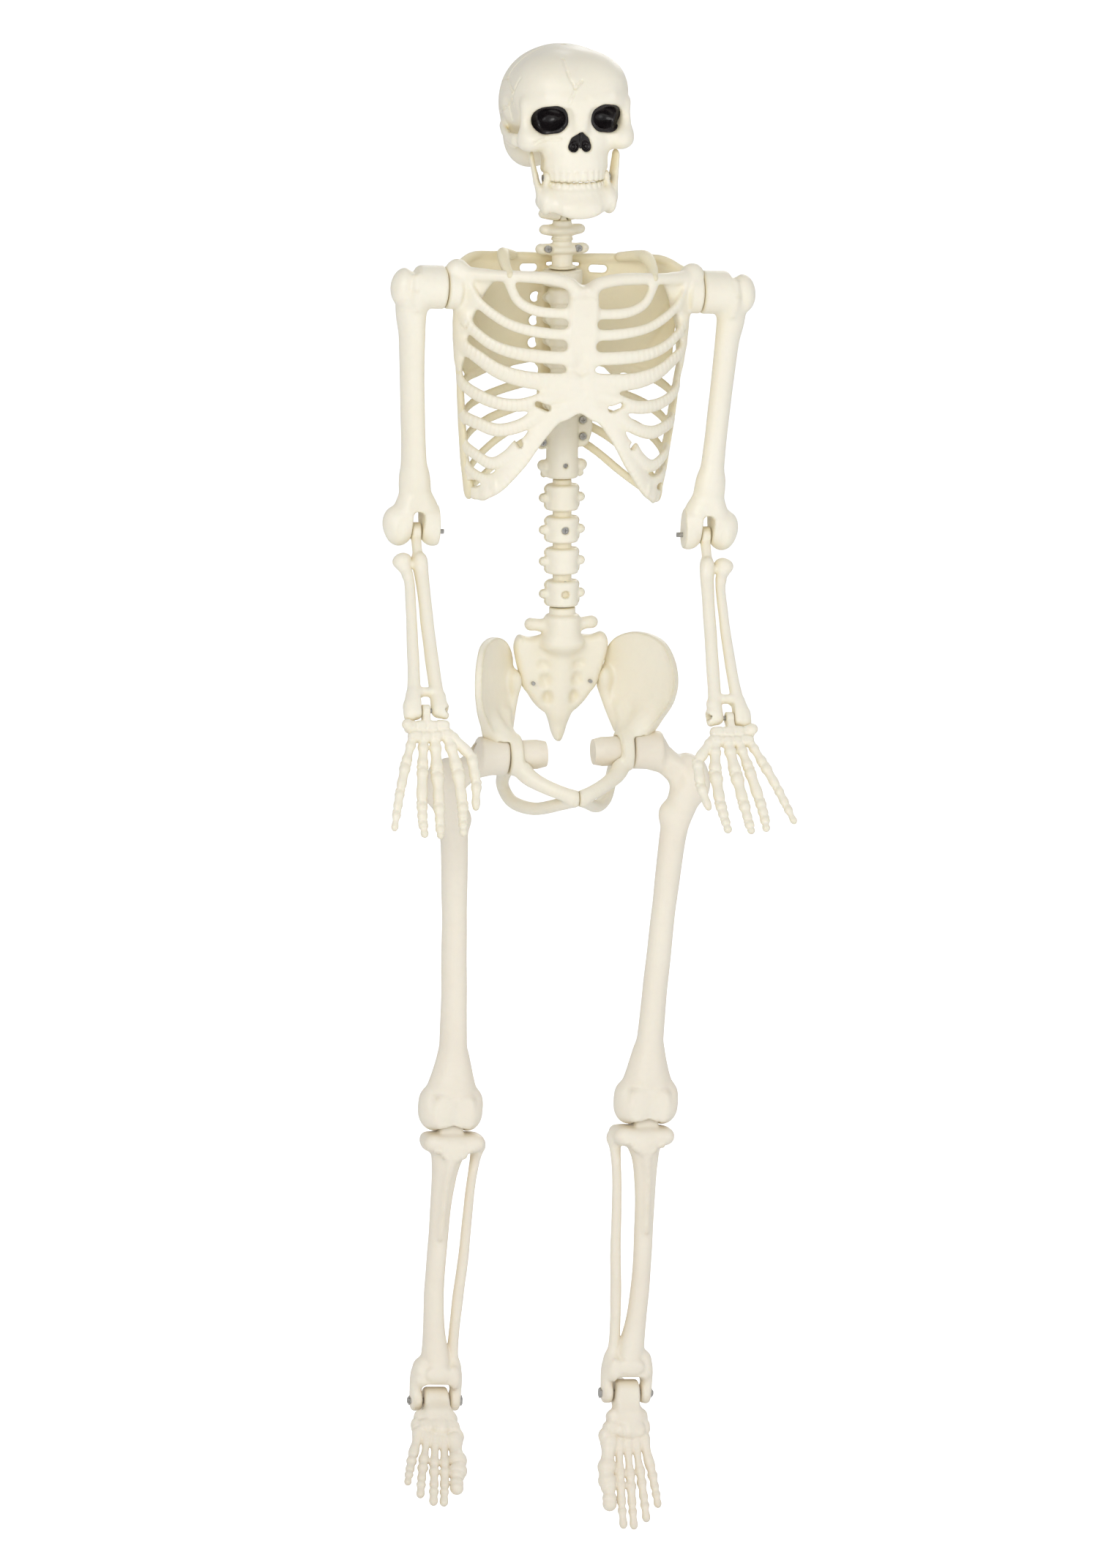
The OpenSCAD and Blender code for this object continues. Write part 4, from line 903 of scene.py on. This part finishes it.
def hip_bone():
    """The left hip bone, in the row frame. The right one is its mirror."""
    y0, z0 = joint_mm("hip_left")[1:]
    bone = Clay((-4, -76, -800), (116, 48, -592), 1.2)
    rear, fore = np.array([50.0, 22.0]), np.array([104.0, -60.0])
    along = (fore - rear) / np.linalg.norm(fore - rear)
    face = np.array([-along[1], along[0]])

    def blade(x, y, z):
        u = (x - rear[0]) * along[0] + (y - rear[1]) * along[1]
        w = (x - rear[0]) * face[0] + (y - rear[1]) * face[1]
        bow = 5.5 * (1 - ((u - 49) / 52) ** 2) - 7 * np.clip((-655 - z) / 60, 0, 1) ** 1.5
        rim = np.array(curve(BLADE + [BLADE[0]], 5)[:-1])
        q = segmented(rim, u, z)
        edge = np.exp(-(q / 5.0) ** 2) * 1.3
        thick = 2.9 + edge + 3.2 * np.clip((-668 - z) / 40, 0, 1)
        a, b = q + 2, np.abs(w - bow) - thick + 2
        return np.sqrt(np.maximum(a, 0) ** 2 + np.maximum(b, 0) ** 2) + np.minimum(np.maximum(a, b), 0) - 2

    bone.add((np.array([30.0, -72.0, -722.0]), np.array([114.0, 40.0, -598.0]), blade))
    # Neck of the blade, hub boss, pubic arch, ischium.
    bone.add(shaft([(79, -22, -694, 7), (71, -23, -706, 11), (60, -25, -723, 15)]), soft=17)
    bone.add(shaft([(62, 4, -688, 6), (64, -6, -704, 9), (61, -17, -720, 12)]), soft=11)
    bone.add(barrel((58.5, y0, z0), 20.5, 6.6, "x", 2.5), soft=5)
    bone.add(egg((48, 16, -655), (8, 9, 12)), soft=6)
    bone.add(shaft([(56, -28, -730, 11), (48, -40, -744, 9), (34, -51, -753, 7.6), (17, -60, -760, 7.4),
                    (4, -63.5, -765, 8.2)], (0, 1, 0.2), 1.15), soft=5)
    bone.add(shaft([(58, -6, -738, 9), (58, 14, -748, 7.4), (57, 29, -765, 6.6), (49, 18, -781, 6.6),
                    (33, -10, -784, 6.6), (16, -42, -775, 6.6), (5, -60, -768, 7.4)], steps=6), soft=4)
    bone.add(shaft([(46, 20, -664, 8), (50, 14, -684, 5.5), (57, 2, -704, 7)], (1, 0.3, 0), 1.6), soft=6)
    bone.carve(barrel((46, y0, z0), 15.6, 6, "x", 0.5))
    bone.carve(barrel((71, y0, z0), 19.9, 6, "x", 1))
    bone.carve(barrel((58, y0, z0), 12.3, 20, "x", 0.3))
    bone.cut("x", 0.25, 1)
    bone.rough(0.28, 11)
    for side, name in (("left", "hip_bone_left"), ("right", "hip_bone_right")):
        piece("hip_blade_" + side, "pelvis", bone, IVORY, [name], Mirror(SIDES[side]))


def segmented(rim, u, z):
    """outline_distance for an outline in a turned plane, where u varies with x and y."""
    return outline_distance(rim, u, z)


BLADE = [(0, -652), (1, -630), (12, -614), (32, -606), (56, -606), (78, -613), (92, -630), (97, -650),
         (92, -670), (78, -688), (64, -702), (46, -712), (34, -706), (26, -690), (12, -678)]


class Mirror(Place):
    """The row frame, mirrored for the figure's right side."""

    def __init__(self, side):
        super().__init__()
        self.side = side
        self.axes = np.diag([float(side), 1.0, 1.0])


# ------------------------------------------------------------------ arms

# How far each joint is bent where the figure hangs at rest, in degrees.
FOREARM_BEND = {"left": 31, "right": 34}
WRIST_BEND = {"left": 10, "right": -5}
FOOT_DROP = {"left": 25, "right": 54}
HAND_LEAN = 2.5
FOOT_YAW = 4.5
OBLIQUE = (0.707, -0.707, 0)


def humerus():
    bone = Clay((-6, -34, -272), (62, 34, 30), 1.2)
    bone.add(barrel((15, 0, 0), 22, 15, "x", 3.2))
    bone.add(egg((30, 0, -5), (17, 20, 21)), soft=4)
    bone.add(egg((44, -3, 0), (12.5, 15, 19.5), (0, -6, 0)), soft=3)
    bone.carve(chain([(33.5, -20, 23), (33.5, 20, 23)], 3.6), soft=6)
    bone.add(chain([(33, -14, 12), (33, -19, -2), (31, -15, -22)], [3, 3.5, 2]), soft=5)
    bone.add(shaft([(33, 0, -10, 18.5), (33.5, 1, -28, 16.4), (31, 2, -52, 14), (29, 3, -90, 13.1),
                    (26, 3, -130, 13), (23.5, 2, -170, 13.4), (21, 1, -200, 14.6)], OBLIQUE, 1.2), soft=5)
    bone.add(shaft([(21, 1, -196, 14.4), (19.5, 1, -214, 17), (18, 1, -232, 24)], (0, 1, 0), 1.5), soft=8)
    bone.add(*(egg((18 + s * 17.5, -1, -247), (14.6, 14.6, 18)) for s in (-1, 1)), soft=6)
    bone.add(egg((18, 0, -234), (26, 14, 13)), soft=6)
    bone.add(*(egg((18 + s * 24, 0, -240), (10, 10, 14)) for s in (-1, 1)), soft=5)
    bone.carve(chain([(36, -17.5, -240), (36, -17.5, -268)], [1.4, 2.6]), soft=4)
    bone.carve(egg((18, -17, -222), (8, 5, 7)), soft=6)
    bone.carve(slab((18, 0, -256), (5.9, 40, 27), 5.6), soft=1.2)
    bone.carve(barrel((8, 0, 0), 9.3, 9.5, "x", 0.2))
    bone.carve(ring((34, -17.2, -82), (0.1, -1, 0), 2.6, 0.6), soft=1)
    bone.rough(0.4, 14)
    return bone


def long_segment(clay, a, b, knob_a, waist, knob_b, thin=1.15, soft=1.0):
    """A finger or toe bone with knobbed ends."""
    a, b = np.array(a, float), np.array(b, float)
    along = (b - a) / np.linalg.norm(b - a)
    rows = []
    for t, r in ((0, knob_a * 0.8), (0.1, knob_a), (0.24, knob_a * 0.86), (0.5, waist), (0.74, waist * 1.12),
                 (0.9, knob_b), (1, knob_b * 0.84)):
        inset = knob_a * 0.55 * (1 - t) - knob_b * 0.55 * t
        rows.append([*(a + (b - a) * t + along * inset), r])
    clay.add(shaft(rows, (0, 1, 0), thin, 3), soft=soft)


def forearm():
    bone = Clay((-22, -24, -216), (40, 24, 16), 1.0)
    # Ulna, with the tongue that sits in the elbow's slot.
    bone.add(barrel((0, 0, 0), 9, 4.9, "x", 1.2))
    bone.add(shaft([(0, 0, -4, 5), (0, 0, -20, 4.9), (0, 0, -29, 5)], (0, 1, 0), 0.85), soft=1)
    bone.add(shaft([(-0.5, 0, -31, 7.4), (-1, -1, -37, 8.4), (-2, 0, -48, 7.4), (-2.5, 0, -66, 6.8), (-3, 1, -100, 6.9),
                    (-4, 1, -140, 7), (-5, 0, -175, 7.2), (-6.5, 0, -196, 8)], (0.5, -0.85, 0), 1.15), soft=2.5)
    bone.add(egg((-1, -6, -34), (6, 5, 7)), soft=3)
    # Radius.
    bone.add(egg((17, 0, -33.5), (10, 9.4, 7.6), (0, 14, 0)), soft=1)
    bone.add(shaft([(16.5, 0, -38, 7.4), (13.5, 0, -46, 5.6), (11.6, 0, -58, 5.2), (12, 1, -80, 5.5), (13.5, 2, -115, 5.8),
                    (15.5, 1, -150, 6.1), (17.5, 0, -175, 6.8), (19.5, 0, -192, 8.6)], (0.5, -0.85, 0), 1.15), soft=2.5)
    bone.add(egg((13, 0, -49), (4.5, 4.5, 6)), soft=3)
    bone.add(chain([(0, 0, -38), (14, 0, -38)], 3.6), soft=2.5)
    # Wrist fork.
    bone.add(shaft([(-8, 0, -186, 6.6), (-5.5, 0, -201, 7.6)], (0, 1, 0), 1.05), soft=3)
    bone.add(shaft([(18, 0, -184, 8), (20, 0, -196, 9.6), (20, 0, -202, 9.6)], (0, 1, 0), 1.1), soft=3)
    bone.add(chain([(-4, 0, -180), (18, 0, -180)], 5), soft=3)
    bone.add(chain([(25, 0, -196), (26.5, 0, -208)], [5, 4]), soft=4)
    bone.add(chain([(-12, 0, -197), (-12, 0, -206)], [4.6, 4]), soft=4)
    bone.carve(slab((8, 0, -207), (4.9, 30, 21), 2), soft=0.8)
    bone.carve(slab((8, 0, -222), (12, 30, 12), 3), soft=3)
    bone.carve(chain([(-18, -2, -201), (-10, -2, -201)], 3.1), soft=0.6)
    bone.rough(0.3, 9)
    return bone


FINGERS = [
    [(-12, -18), (-22, -25), (-42, -50), (-44, -78), (-40, -107)],
    [(-17, -27), (-21, -34), (-26, -64), (-27, -100), (-25.5, -119), (-24, -134)],
    [(-4, -27), (-6, -34), (-4.5, -66), (-2.5, -100), (-1, -123), (0, -136)],
    [(5, -27), (6, -34), (10, -60), (15, -98), (16.5, -118), (16, -134)],
    [(14, -25), (18, -32), (27, -56), (36, -84), (42, -106), (47, -126)],
]
KNOBS = [(5.2, 5.4, 5.0, 3.6), (5.8, 6.4, 5.4, 4.4, 3.9), (5.8, 6.4, 5.6, 4.6, 3.6), (5.2, 5.6, 5.2, 4.6, 3.7),
         (4.8, 5.2, 4.6, 4.2, 3.4)]
WAISTS = [(4.1, 4.0, 3.1), (4.0, 4.1, 3.8, 2.7), (4.1, 4.1, 3.6, 2.5), (3.5, 4.1, 3.7, 2.6), (3.2, 3.6, 3.3, 2.4)]


def leaning(shape_points, lean):
    """Points turned about Y by lean degrees, so that hands and feet hang plumb under leaning limbs."""
    c, s = math.cos(math.radians(lean)), math.sin(math.radians(lean))
    return [(x * c - z * s, y, x * s + z * c) for x, y, z in shape_points]


def hand(lean):
    bone = Clay((-58, -17, -150), (62, 17, 10), 0.85)
    bone.add(barrel((0, 0, 0), 6.4, 4.1, "x", 1))
    bone.add(slab((0, 0, -8), (4.1, 5, 9), 1.5))
    first = [((-15.5, -17), (7.5, 6)), ((-4, -17.5), (7, 6.5)), ((7, -17), (6.6, 6.4)), ((17.5, -16.5), (6.5, 6))]
    second = [((-18.5, -26.5), (6.4, 5.4)), ((-8, -28), (6.2, 5.8)), ((2.5, -28.5), (6, 5.8)), ((13.5, -27.5), (7.6, 5.8))]
    for (x, z), (rx, rz) in first + second:
        p = leaning([(x, 0, z)], lean)[0]
        bone.add(slab(p, (rx, 5.6, rz), 4.2, (0, 6 if x > 0 else -6, 0)), soft=0.9)
    bone.add(egg(leaning([(21, -3, -15)], lean)[0], (6, 5, 6)), soft=1.2)
    bone.add(slab(leaning([(0, 0, -22)], lean)[0], (17, 3.6, 9), 3), soft=1)
    for finger, knobs, waists in zip(FINGERS, KNOBS, WAISTS):
        joints = leaning([(x, 0, z) for x, z in finger], lean)
        for i, waist in enumerate(waists):
            a, b = joints[i + 1], joints[i + 2]
            long_segment(bone, a, b, knobs[i] * 1.12, waist * 1.3, knobs[i + 1] * (1.05 if i + 2 < len(joints) - 1 else 1.12))
            if i + 2 < len(joints) - 1:
                bone.add(chain([np.array(b) + (-knobs[i + 1] * 0.5, 0, 0), np.array(b) + (knobs[i + 1] * 0.5, 0, 0)],
                               knobs[i + 1] * 0.62), soft=0.6)
        bone.add(chain([joints[0], joints[1]], knobs[0] * 0.95, (0, 1, 0), 1.2), soft=1)
    bone.carve(barrel((0, 0, 0), 2.6, 8, "x", 0.2))
    bone.rough(0.2, 6)
    return bone


# ------------------------------------------------------------------ legs

def leg_place(side):
    """The leg's frame: origin at the hip joint, -Z towards the knee, with the knee joint's axis across."""
    place = Place("knee_" + side, SIDES[side])
    place.origin = joint_mm("knee_" + side) - np.array([25.0, 4.0, -371.0]) @ place.axes
    return place


def femur():
    bone = Clay((-14, -42, -404), (78, 46, 28), 1.35)
    bone.add(barrel((3, 0, 0), 19.5, 15.4, "x", 3))
    bone.add(egg((12, 0, -1), (13, 18.5, 19)), soft=3)
    bone.add(shaft([(12, 0, -3, 15.5), (28, 0, -14, 13.6), (44, 1, -26, 16), (52, 1, -36, 17)]), soft=5)
    bone.add(egg((56, 2, -22), (13, 15, 15)), soft=7)
    bone.add(egg((62, 0, -36), (9.5, 13, 16)), soft=7)
    bone.add(egg((47, 4, -11), (9, 10, 8)), soft=6)
    bone.add(shaft([(50, 1, -34, 18.5), (44, 1, -56, 16.5), (38.5, 2, -80, 14.8), (35, 3, -120, 13.8),
                    (32, 4, -170, 13.2), (29.5, 4, -220, 13.2), (27, 4, -270, 13.8), (25.5, 4, -310, 15.2),
                    (25, 4, -336, 19)], OBLIQUE, 1.08), soft=6)
    bone.add(egg((30, 2, -66), (9, 9, 12)), soft=7)
    bone.add(chain([(58, 0, -44), (48, -3, -62), (38, -6, -92)], [5, 4, 2]), soft=8)
    bone.add(shaft([(25, 4, -318, 16), (25, 4, -338, 22), (25, 4, -352, 27)], (0, 1, 0), 1.45), soft=8)
    for s, r in ((-1, 15.5), (1, 16)):
        bone.add(egg((25 + s * 17.5, 4, -370), (r, 20, 19.5)), soft=6)
        bone.add(egg((25 + s * 24, 4, -358), (8.6, 13, 12)), soft=6)
    bone.add(egg((25, 3, -358), (27, 16.5, 16)), soft=6)
    bone.add(slab((25, -11.5, -368), (21, 5, 17), 4.5), soft=5)
    bone.carve(chain([(25, -20, -350), (25, -22, -376), (25, -19, -394)], [1.5, 5, 7]), soft=7)
    # The slot for the shin's tongue, closed in front.
    bone.carve(slab((25, 18.6, -383), (12.9, 31.2, 21), 9), soft=1)
    bone.carve(slab((25, 18.6, -387), (12.9, 31.2, 14), 3), soft=1)
    bone.carve(egg((33, -17, -26), (6, 5, 9)), soft=7)
    bone.carve(barrel((-8, 0, 0), 12.3, 8.2, "x", 0.3))
    bone.carve(barrel((50, 0, 7.5), 4.9, 31.6, "x", 0.3))
    bone.rough(0.45, 15)
    return bone


def shin():
    bone = Clay((-48, -30, -326), (40, 34, 22), 1.25)
    bone.add(barrel((0, 0, 0), 16, 12.5, "x", 3))
    bone.add(slab((0, 0, -14), (12.5, 13, 13), 4), soft=2)
    # Plateau: two shallow cups with a rough front edge.
    bone.add(slab((-3, -2, -29), (31.5, 17, 7.4), 6.5), soft=3)
    bone.add(*(egg((-3 + s * 17, -2, -31), (15.5, 18, 10.5)) for s in (-1, 1)), soft=5)
    bone.add(egg((-3, -17, -37), (13, 6, 9)), soft=6)
    bone.add(*(egg((x, -18.5, z), (3.2, 2.4, 2.6)) for x, z in ((-20, -36), (-12, -42), (-3, -45), (7, -43), (15, -38))),
             soft=3)
    bone.add(shaft([(0, -1, -36, 19), (2, -2, -50, 15.4), (3.4, -2, -70, 12.6), (5, -1, -100, 11), (6, 0, -150, 10.4),
                    (6, 2, -190, 10.4), (4, 3, -225, 11.6), (1.5, 4, -250, 14), (0, 5, -264, 16)], OBLIQUE, 1.1), soft=6)
    bone.add(chain([(0, -17, -46), (4, -14, -75), (6, -11, -130)], [3, 2.4, 1.5]), soft=6)
    # Fibula, on the inner side as on the real one.
    bone.add(egg((-31, 0, -33), (8, 8.6, 8.4)), soft=3)
    bone.add(shaft([(-31, 0, -36, 6.8), (-28.5, 0, -50, 5.4), (-25.5, 0, -80, 4.8), (-24, 0, -110, 4.9),
                    (-22.5, 1, -150, 5.5), (-20, 2, -185, 5.6), (-18, 3, -220, 5.4), (-17.5, 4, -246, 5.8),
                    (-18, 5, -262, 7)]), soft=2.5)
    # Ankle fork.
    x0, y0 = -2, 5
    bone.add(slab((x0, y0, -277), (24, 13, 9), 6), soft=7)
    for s, drop in ((-1, -3), (1, -6)):
        bone.add(shaft([(x0 + s * 17, y0, -268, 11), (x0 + s * 20.5, y0, -284, 9), (x0 + s * 21.5, y0 - 1, -302 + drop / 2,
                        6.4)], (s, 0, 0), 1.35), soft=5)
        bone.add(barrel((x0 + s * 19.4, y0, -302), 10, 5, "x", 2.5), soft=4)
    bone.add(egg((x0 + 1, -9, -272), (13, 4, 8)), soft=5)
    bone.add(egg((x0 - 16, -7, -276), (5, 4, 12)), soft=5)
    bone.carve(slab((x0, y0, -300), (14.1, 40, 16.2), 4), soft=2.5)
    bone.carve(barrel((x0, y0, -302), 3.1, 40, "x", 0.2))
    bone.rough(0.42, 12)
    return bone


TOES = [
    [(-15, -44), (-18, -88), (-14, -107), (-13, -124)],
    [(-6, -44), (-3, -92), (-0.5, -120), (2, -142)],
    [(2.5, -44), (8, -92), (10.5, -120), (13, -142)],
    [(10.5, -42), (19, -88), (23, -112), (26, -133)],
    [(18, -38), (30, -80), (34.5, -100), (38, -117)],
]
TOE_KNOBS = [(8.6, 8.6, 6.6, 5.6), (6, 5.2, 4.4, 3.9), (6, 5.2, 4.4, 3.9), (6, 5, 4.3, 3.8), (6.4, 4.8, 4.2, 3.6)]
TOE_WAISTS = [(5.4, 5.8, 5.2), (3.2, 3.5, 3.0), (3.1, 3.3, 3.0), (3.0, 3.3, 2.9), (3.8, 3.2, 2.8)]


def foot(yaw):
    bone = Clay((-36, -26, -156), (54, 52, 34), 1.0)
    bone.add(barrel((0, 0, 0), 14.2, 12.2, "x", 3))
    bone.add(slab((0, 1, -12), (12.2, 12.5, 14), 4), soft=3)
    bone.add(shaft([(0, 2, -14, 12.5), (2, 3, -26, 14), (2, 2, -38, 14)], (0, 1, 0), 1.15), soft=5)
    bone.add(egg((1, 1, -25), (21, 12, 12)), soft=6)
    blocks = [((-11, 1, -27), (8, 9, 8)), ((4, -1, -26), (7, 9, 9)), ((16, 3, -24), (7.5, 8, 8)),
              ((-15, 0, -39), (7.4, 8.4, 8)), ((-5, -1.5, -41), (5.4, 8, 8)), ((4, -2, -41), (5.2, 8, 8)),
              ((14, 0, -39), (7.2, 8, 8)), ((21, 3, -34), (6, 7, 8))]
    for centre, half in blocks:
        bone.add(slab(leaning([centre], yaw)[0], half, 5.5), soft=2.2)
    bone.add(egg(leaning([(-21, 2, -47)], yaw)[0], (6, 7, 8)), soft=3)
    # Heel.
    bone.add(shaft([(0, 6, -8, 11), (0, 16, 2, 11), (0, 27, 11, 11.5), (0, 32, 14, 11.5)], (1, 0, 0), 1.12), soft=4)
    for toe, knobs, waists in zip(TOES, TOE_KNOBS, TOE_WAISTS):
        joints = leaning([(x, 2, z) for x, z in toe], yaw)
        for i, waist in enumerate(waists):
            long_segment(bone, joints[i], joints[i + 1], knobs[i] * 1.12, waist * 1.25, knobs[i + 1] * 1.12, 1.05)
            if i < 2:
                bone.add(ball(joints[i + 1], knobs[i + 1] * 0.86), soft=0.8)
    bone.carve(barrel((0, 0, 0), 3.1, 30, "x", 0.2))
    bone.rough(0.35, 9)
    return bone


def limbs():
    arm, fore = humerus(), forearm()
    thigh, lower = femur(), shin()
    shapes = {"arm": arm.skin(), "fore": fore.skin(), "thigh": thigh.skin(), "shin": lower.skin()}
    for side, s in SIDES.items():
        bend = FOREARM_BEND[side]
        piece("humerus_bone_" + side, "upper_arm_" + side, shapes["arm"], IVORY, ["humerus_" + side],
              Place("shoulder_" + side, s))
        piece("forearm_bones_" + side, "forearm_" + side, shapes["fore"], IVORY, ["forearm_" + side],
              Place("elbow_" + side, s, bend))
        piece("hand_bones_" + side, "hand_" + side, hand(HAND_LEAN * s), IVORY, ["hand_" + side],
              Place("wrist_" + side, s, bend + WRIST_BEND[side]))
        piece("femur_bone_" + side, "thigh_" + side, shapes["thigh"], WARM, ["femur_" + side], leg_place(side))
        piece("shin_bones_" + side, "shin_" + side, shapes["shin"], WARM, ["shin_" + side],
              Place("knee_" + side, s))
        piece("foot_bones_" + side, "foot_" + side, foot(-FOOT_YAW * s), WARM, ["foot_" + side],
              Place("ankle_" + side, s, FOOT_DROP[side]))


# ------------------------------------------------------------------ studio

def area_light(name, where, towards, size, power, colour=(1, 1, 1)):
    data = bpy.data.lights.new(name, "AREA")
    data.shape = "DISK"
    data.size, data.energy, data.color = size, power, colour
    obj = bpy.data.objects.new(name, data)
    obj.location = where
    obj.rotation_euler = (Vector(towards) - Vector(where)).to_track_quat("-Z", "Y").to_euler()
    bpy.context.scene.collection.objects.link(obj)


def studio():
    low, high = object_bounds()
    floor_z = low[2] - 0.05
    half = 16.0
    points = [(x, y, floor_z) for y in (-half, half) for x in (-half, half)]
    mesh = bpy.data.meshes.new("paper_floor")
    mesh.from_pydata(points, [], [(0, 1, 3, 2)])

    def paper(nodes, links, face, noise, ramp, mix, bump):
        links.new(mix(ramp(noise(3, 3), 0.3, 0.7, 0, 1), (0.93, 0.93, 0.93), (0.96, 0.96, 0.955)),
                  face.inputs["Base Color"])
        links.new(bump(noise(900), 0.04, 0.0003), face.inputs["Normal"])
        face.inputs["Roughness"].default_value = 0.9
        face.inputs["Emission Color"].default_value = (1, 1, 1, 1)
        seen = nodes.new("ShaderNodeLightPath").outputs["Is Camera Ray"]
        links.new(ramp(seen, 0, 1, 0, 0.62), face.inputs["Emission Strength"])
    mesh.materials.append(shader("floor_paper", "stage", paper))
    floor = bpy.data.objects.new("paper_floor", mesh)
    bpy.context.scene.collection.objects.link(floor)
    floor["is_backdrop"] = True

    world = bpy.data.worlds.new("studio")
    world.use_nodes = True
    nodes, links = world.node_tree.nodes, world.node_tree.links
    nodes["Background"].inputs["Color"].default_value = (1, 1, 1, 1)
    seen = nodes.new("ShaderNodeLightPath").outputs["Is Camera Ray"]
    strength = nodes.new("ShaderNodeMapRange")
    links.new(seen, strength.inputs["Value"])
    strength.inputs["To Min"].default_value = 0.56
    strength.inputs["To Max"].default_value = 1.0
    links.new(strength.outputs["Result"], nodes["Background"].inputs["Strength"])
    bpy.context.scene.world = world
    bpy.context.scene.view_settings.view_transform = "Standard"
    middle = (0, 0, (low[2] + high[2]) / 2)
    area_light("key", (-2.4, -4.4, 1.4), middle, 3.2, 104, (1, 0.985, 0.96))
    area_light("fill", (3.0, -3.6, -0.2), middle, 2.8, 30, (0.98, 0.99, 1))
    area_light("rim", (1.8, 3.2, 1.2), middle, 2.2, 30)

    # The camera: a long lens, from a little to the figure's right and a little above.
    azimuth, elevation, distance, tall = math.radians(-14), math.radians(10), 15.0, 1.5895
    right = Vector((math.cos(azimuth), math.sin(azimuth), 0))
    back = Vector((math.sin(azimuth) * math.cos(elevation), -math.cos(azimuth) * math.cos(elevation),
                   math.sin(elevation)))
    up = back.cross(right)
    data = bpy.data.cameras.new("camera")
    data.sensor_width = data.sensor_height = 36.0
    data.sensor_fit = "VERTICAL"
    data.lens = 36.0 * distance / tall
    data.clip_end = 100
    camera = bpy.data.objects.new("camera", data)
    camera.matrix_world = Matrix.Translation(-0.0148 * right - 0.7498 * up + back * distance) @ Matrix(
        (right, up, back)).transposed().to_4x4()
    bpy.context.scene.collection.objects.link(camera)
    bpy.context.scene.camera = camera


def metal():
    """The pins, screws, bolts and hubs stay as they are in the CAD, in better materials."""
    for name, obj in frame["nodes"].items():
        if any(word in name for word in ("screw", "pin", "bolt", "nut")) and "spine" not in name:
            material = STEEL
        elif "femur" in name or "hip_hub" in name:
            material = WARM
        else:
            material = IVORY
        for slot in obj.material_slots:
            slot.material = material


metal()
skull()
jaw()
neck()
thorax()
front_cage()
rear_cage()
sacrum()
hip_bone()
limbs()
studio()
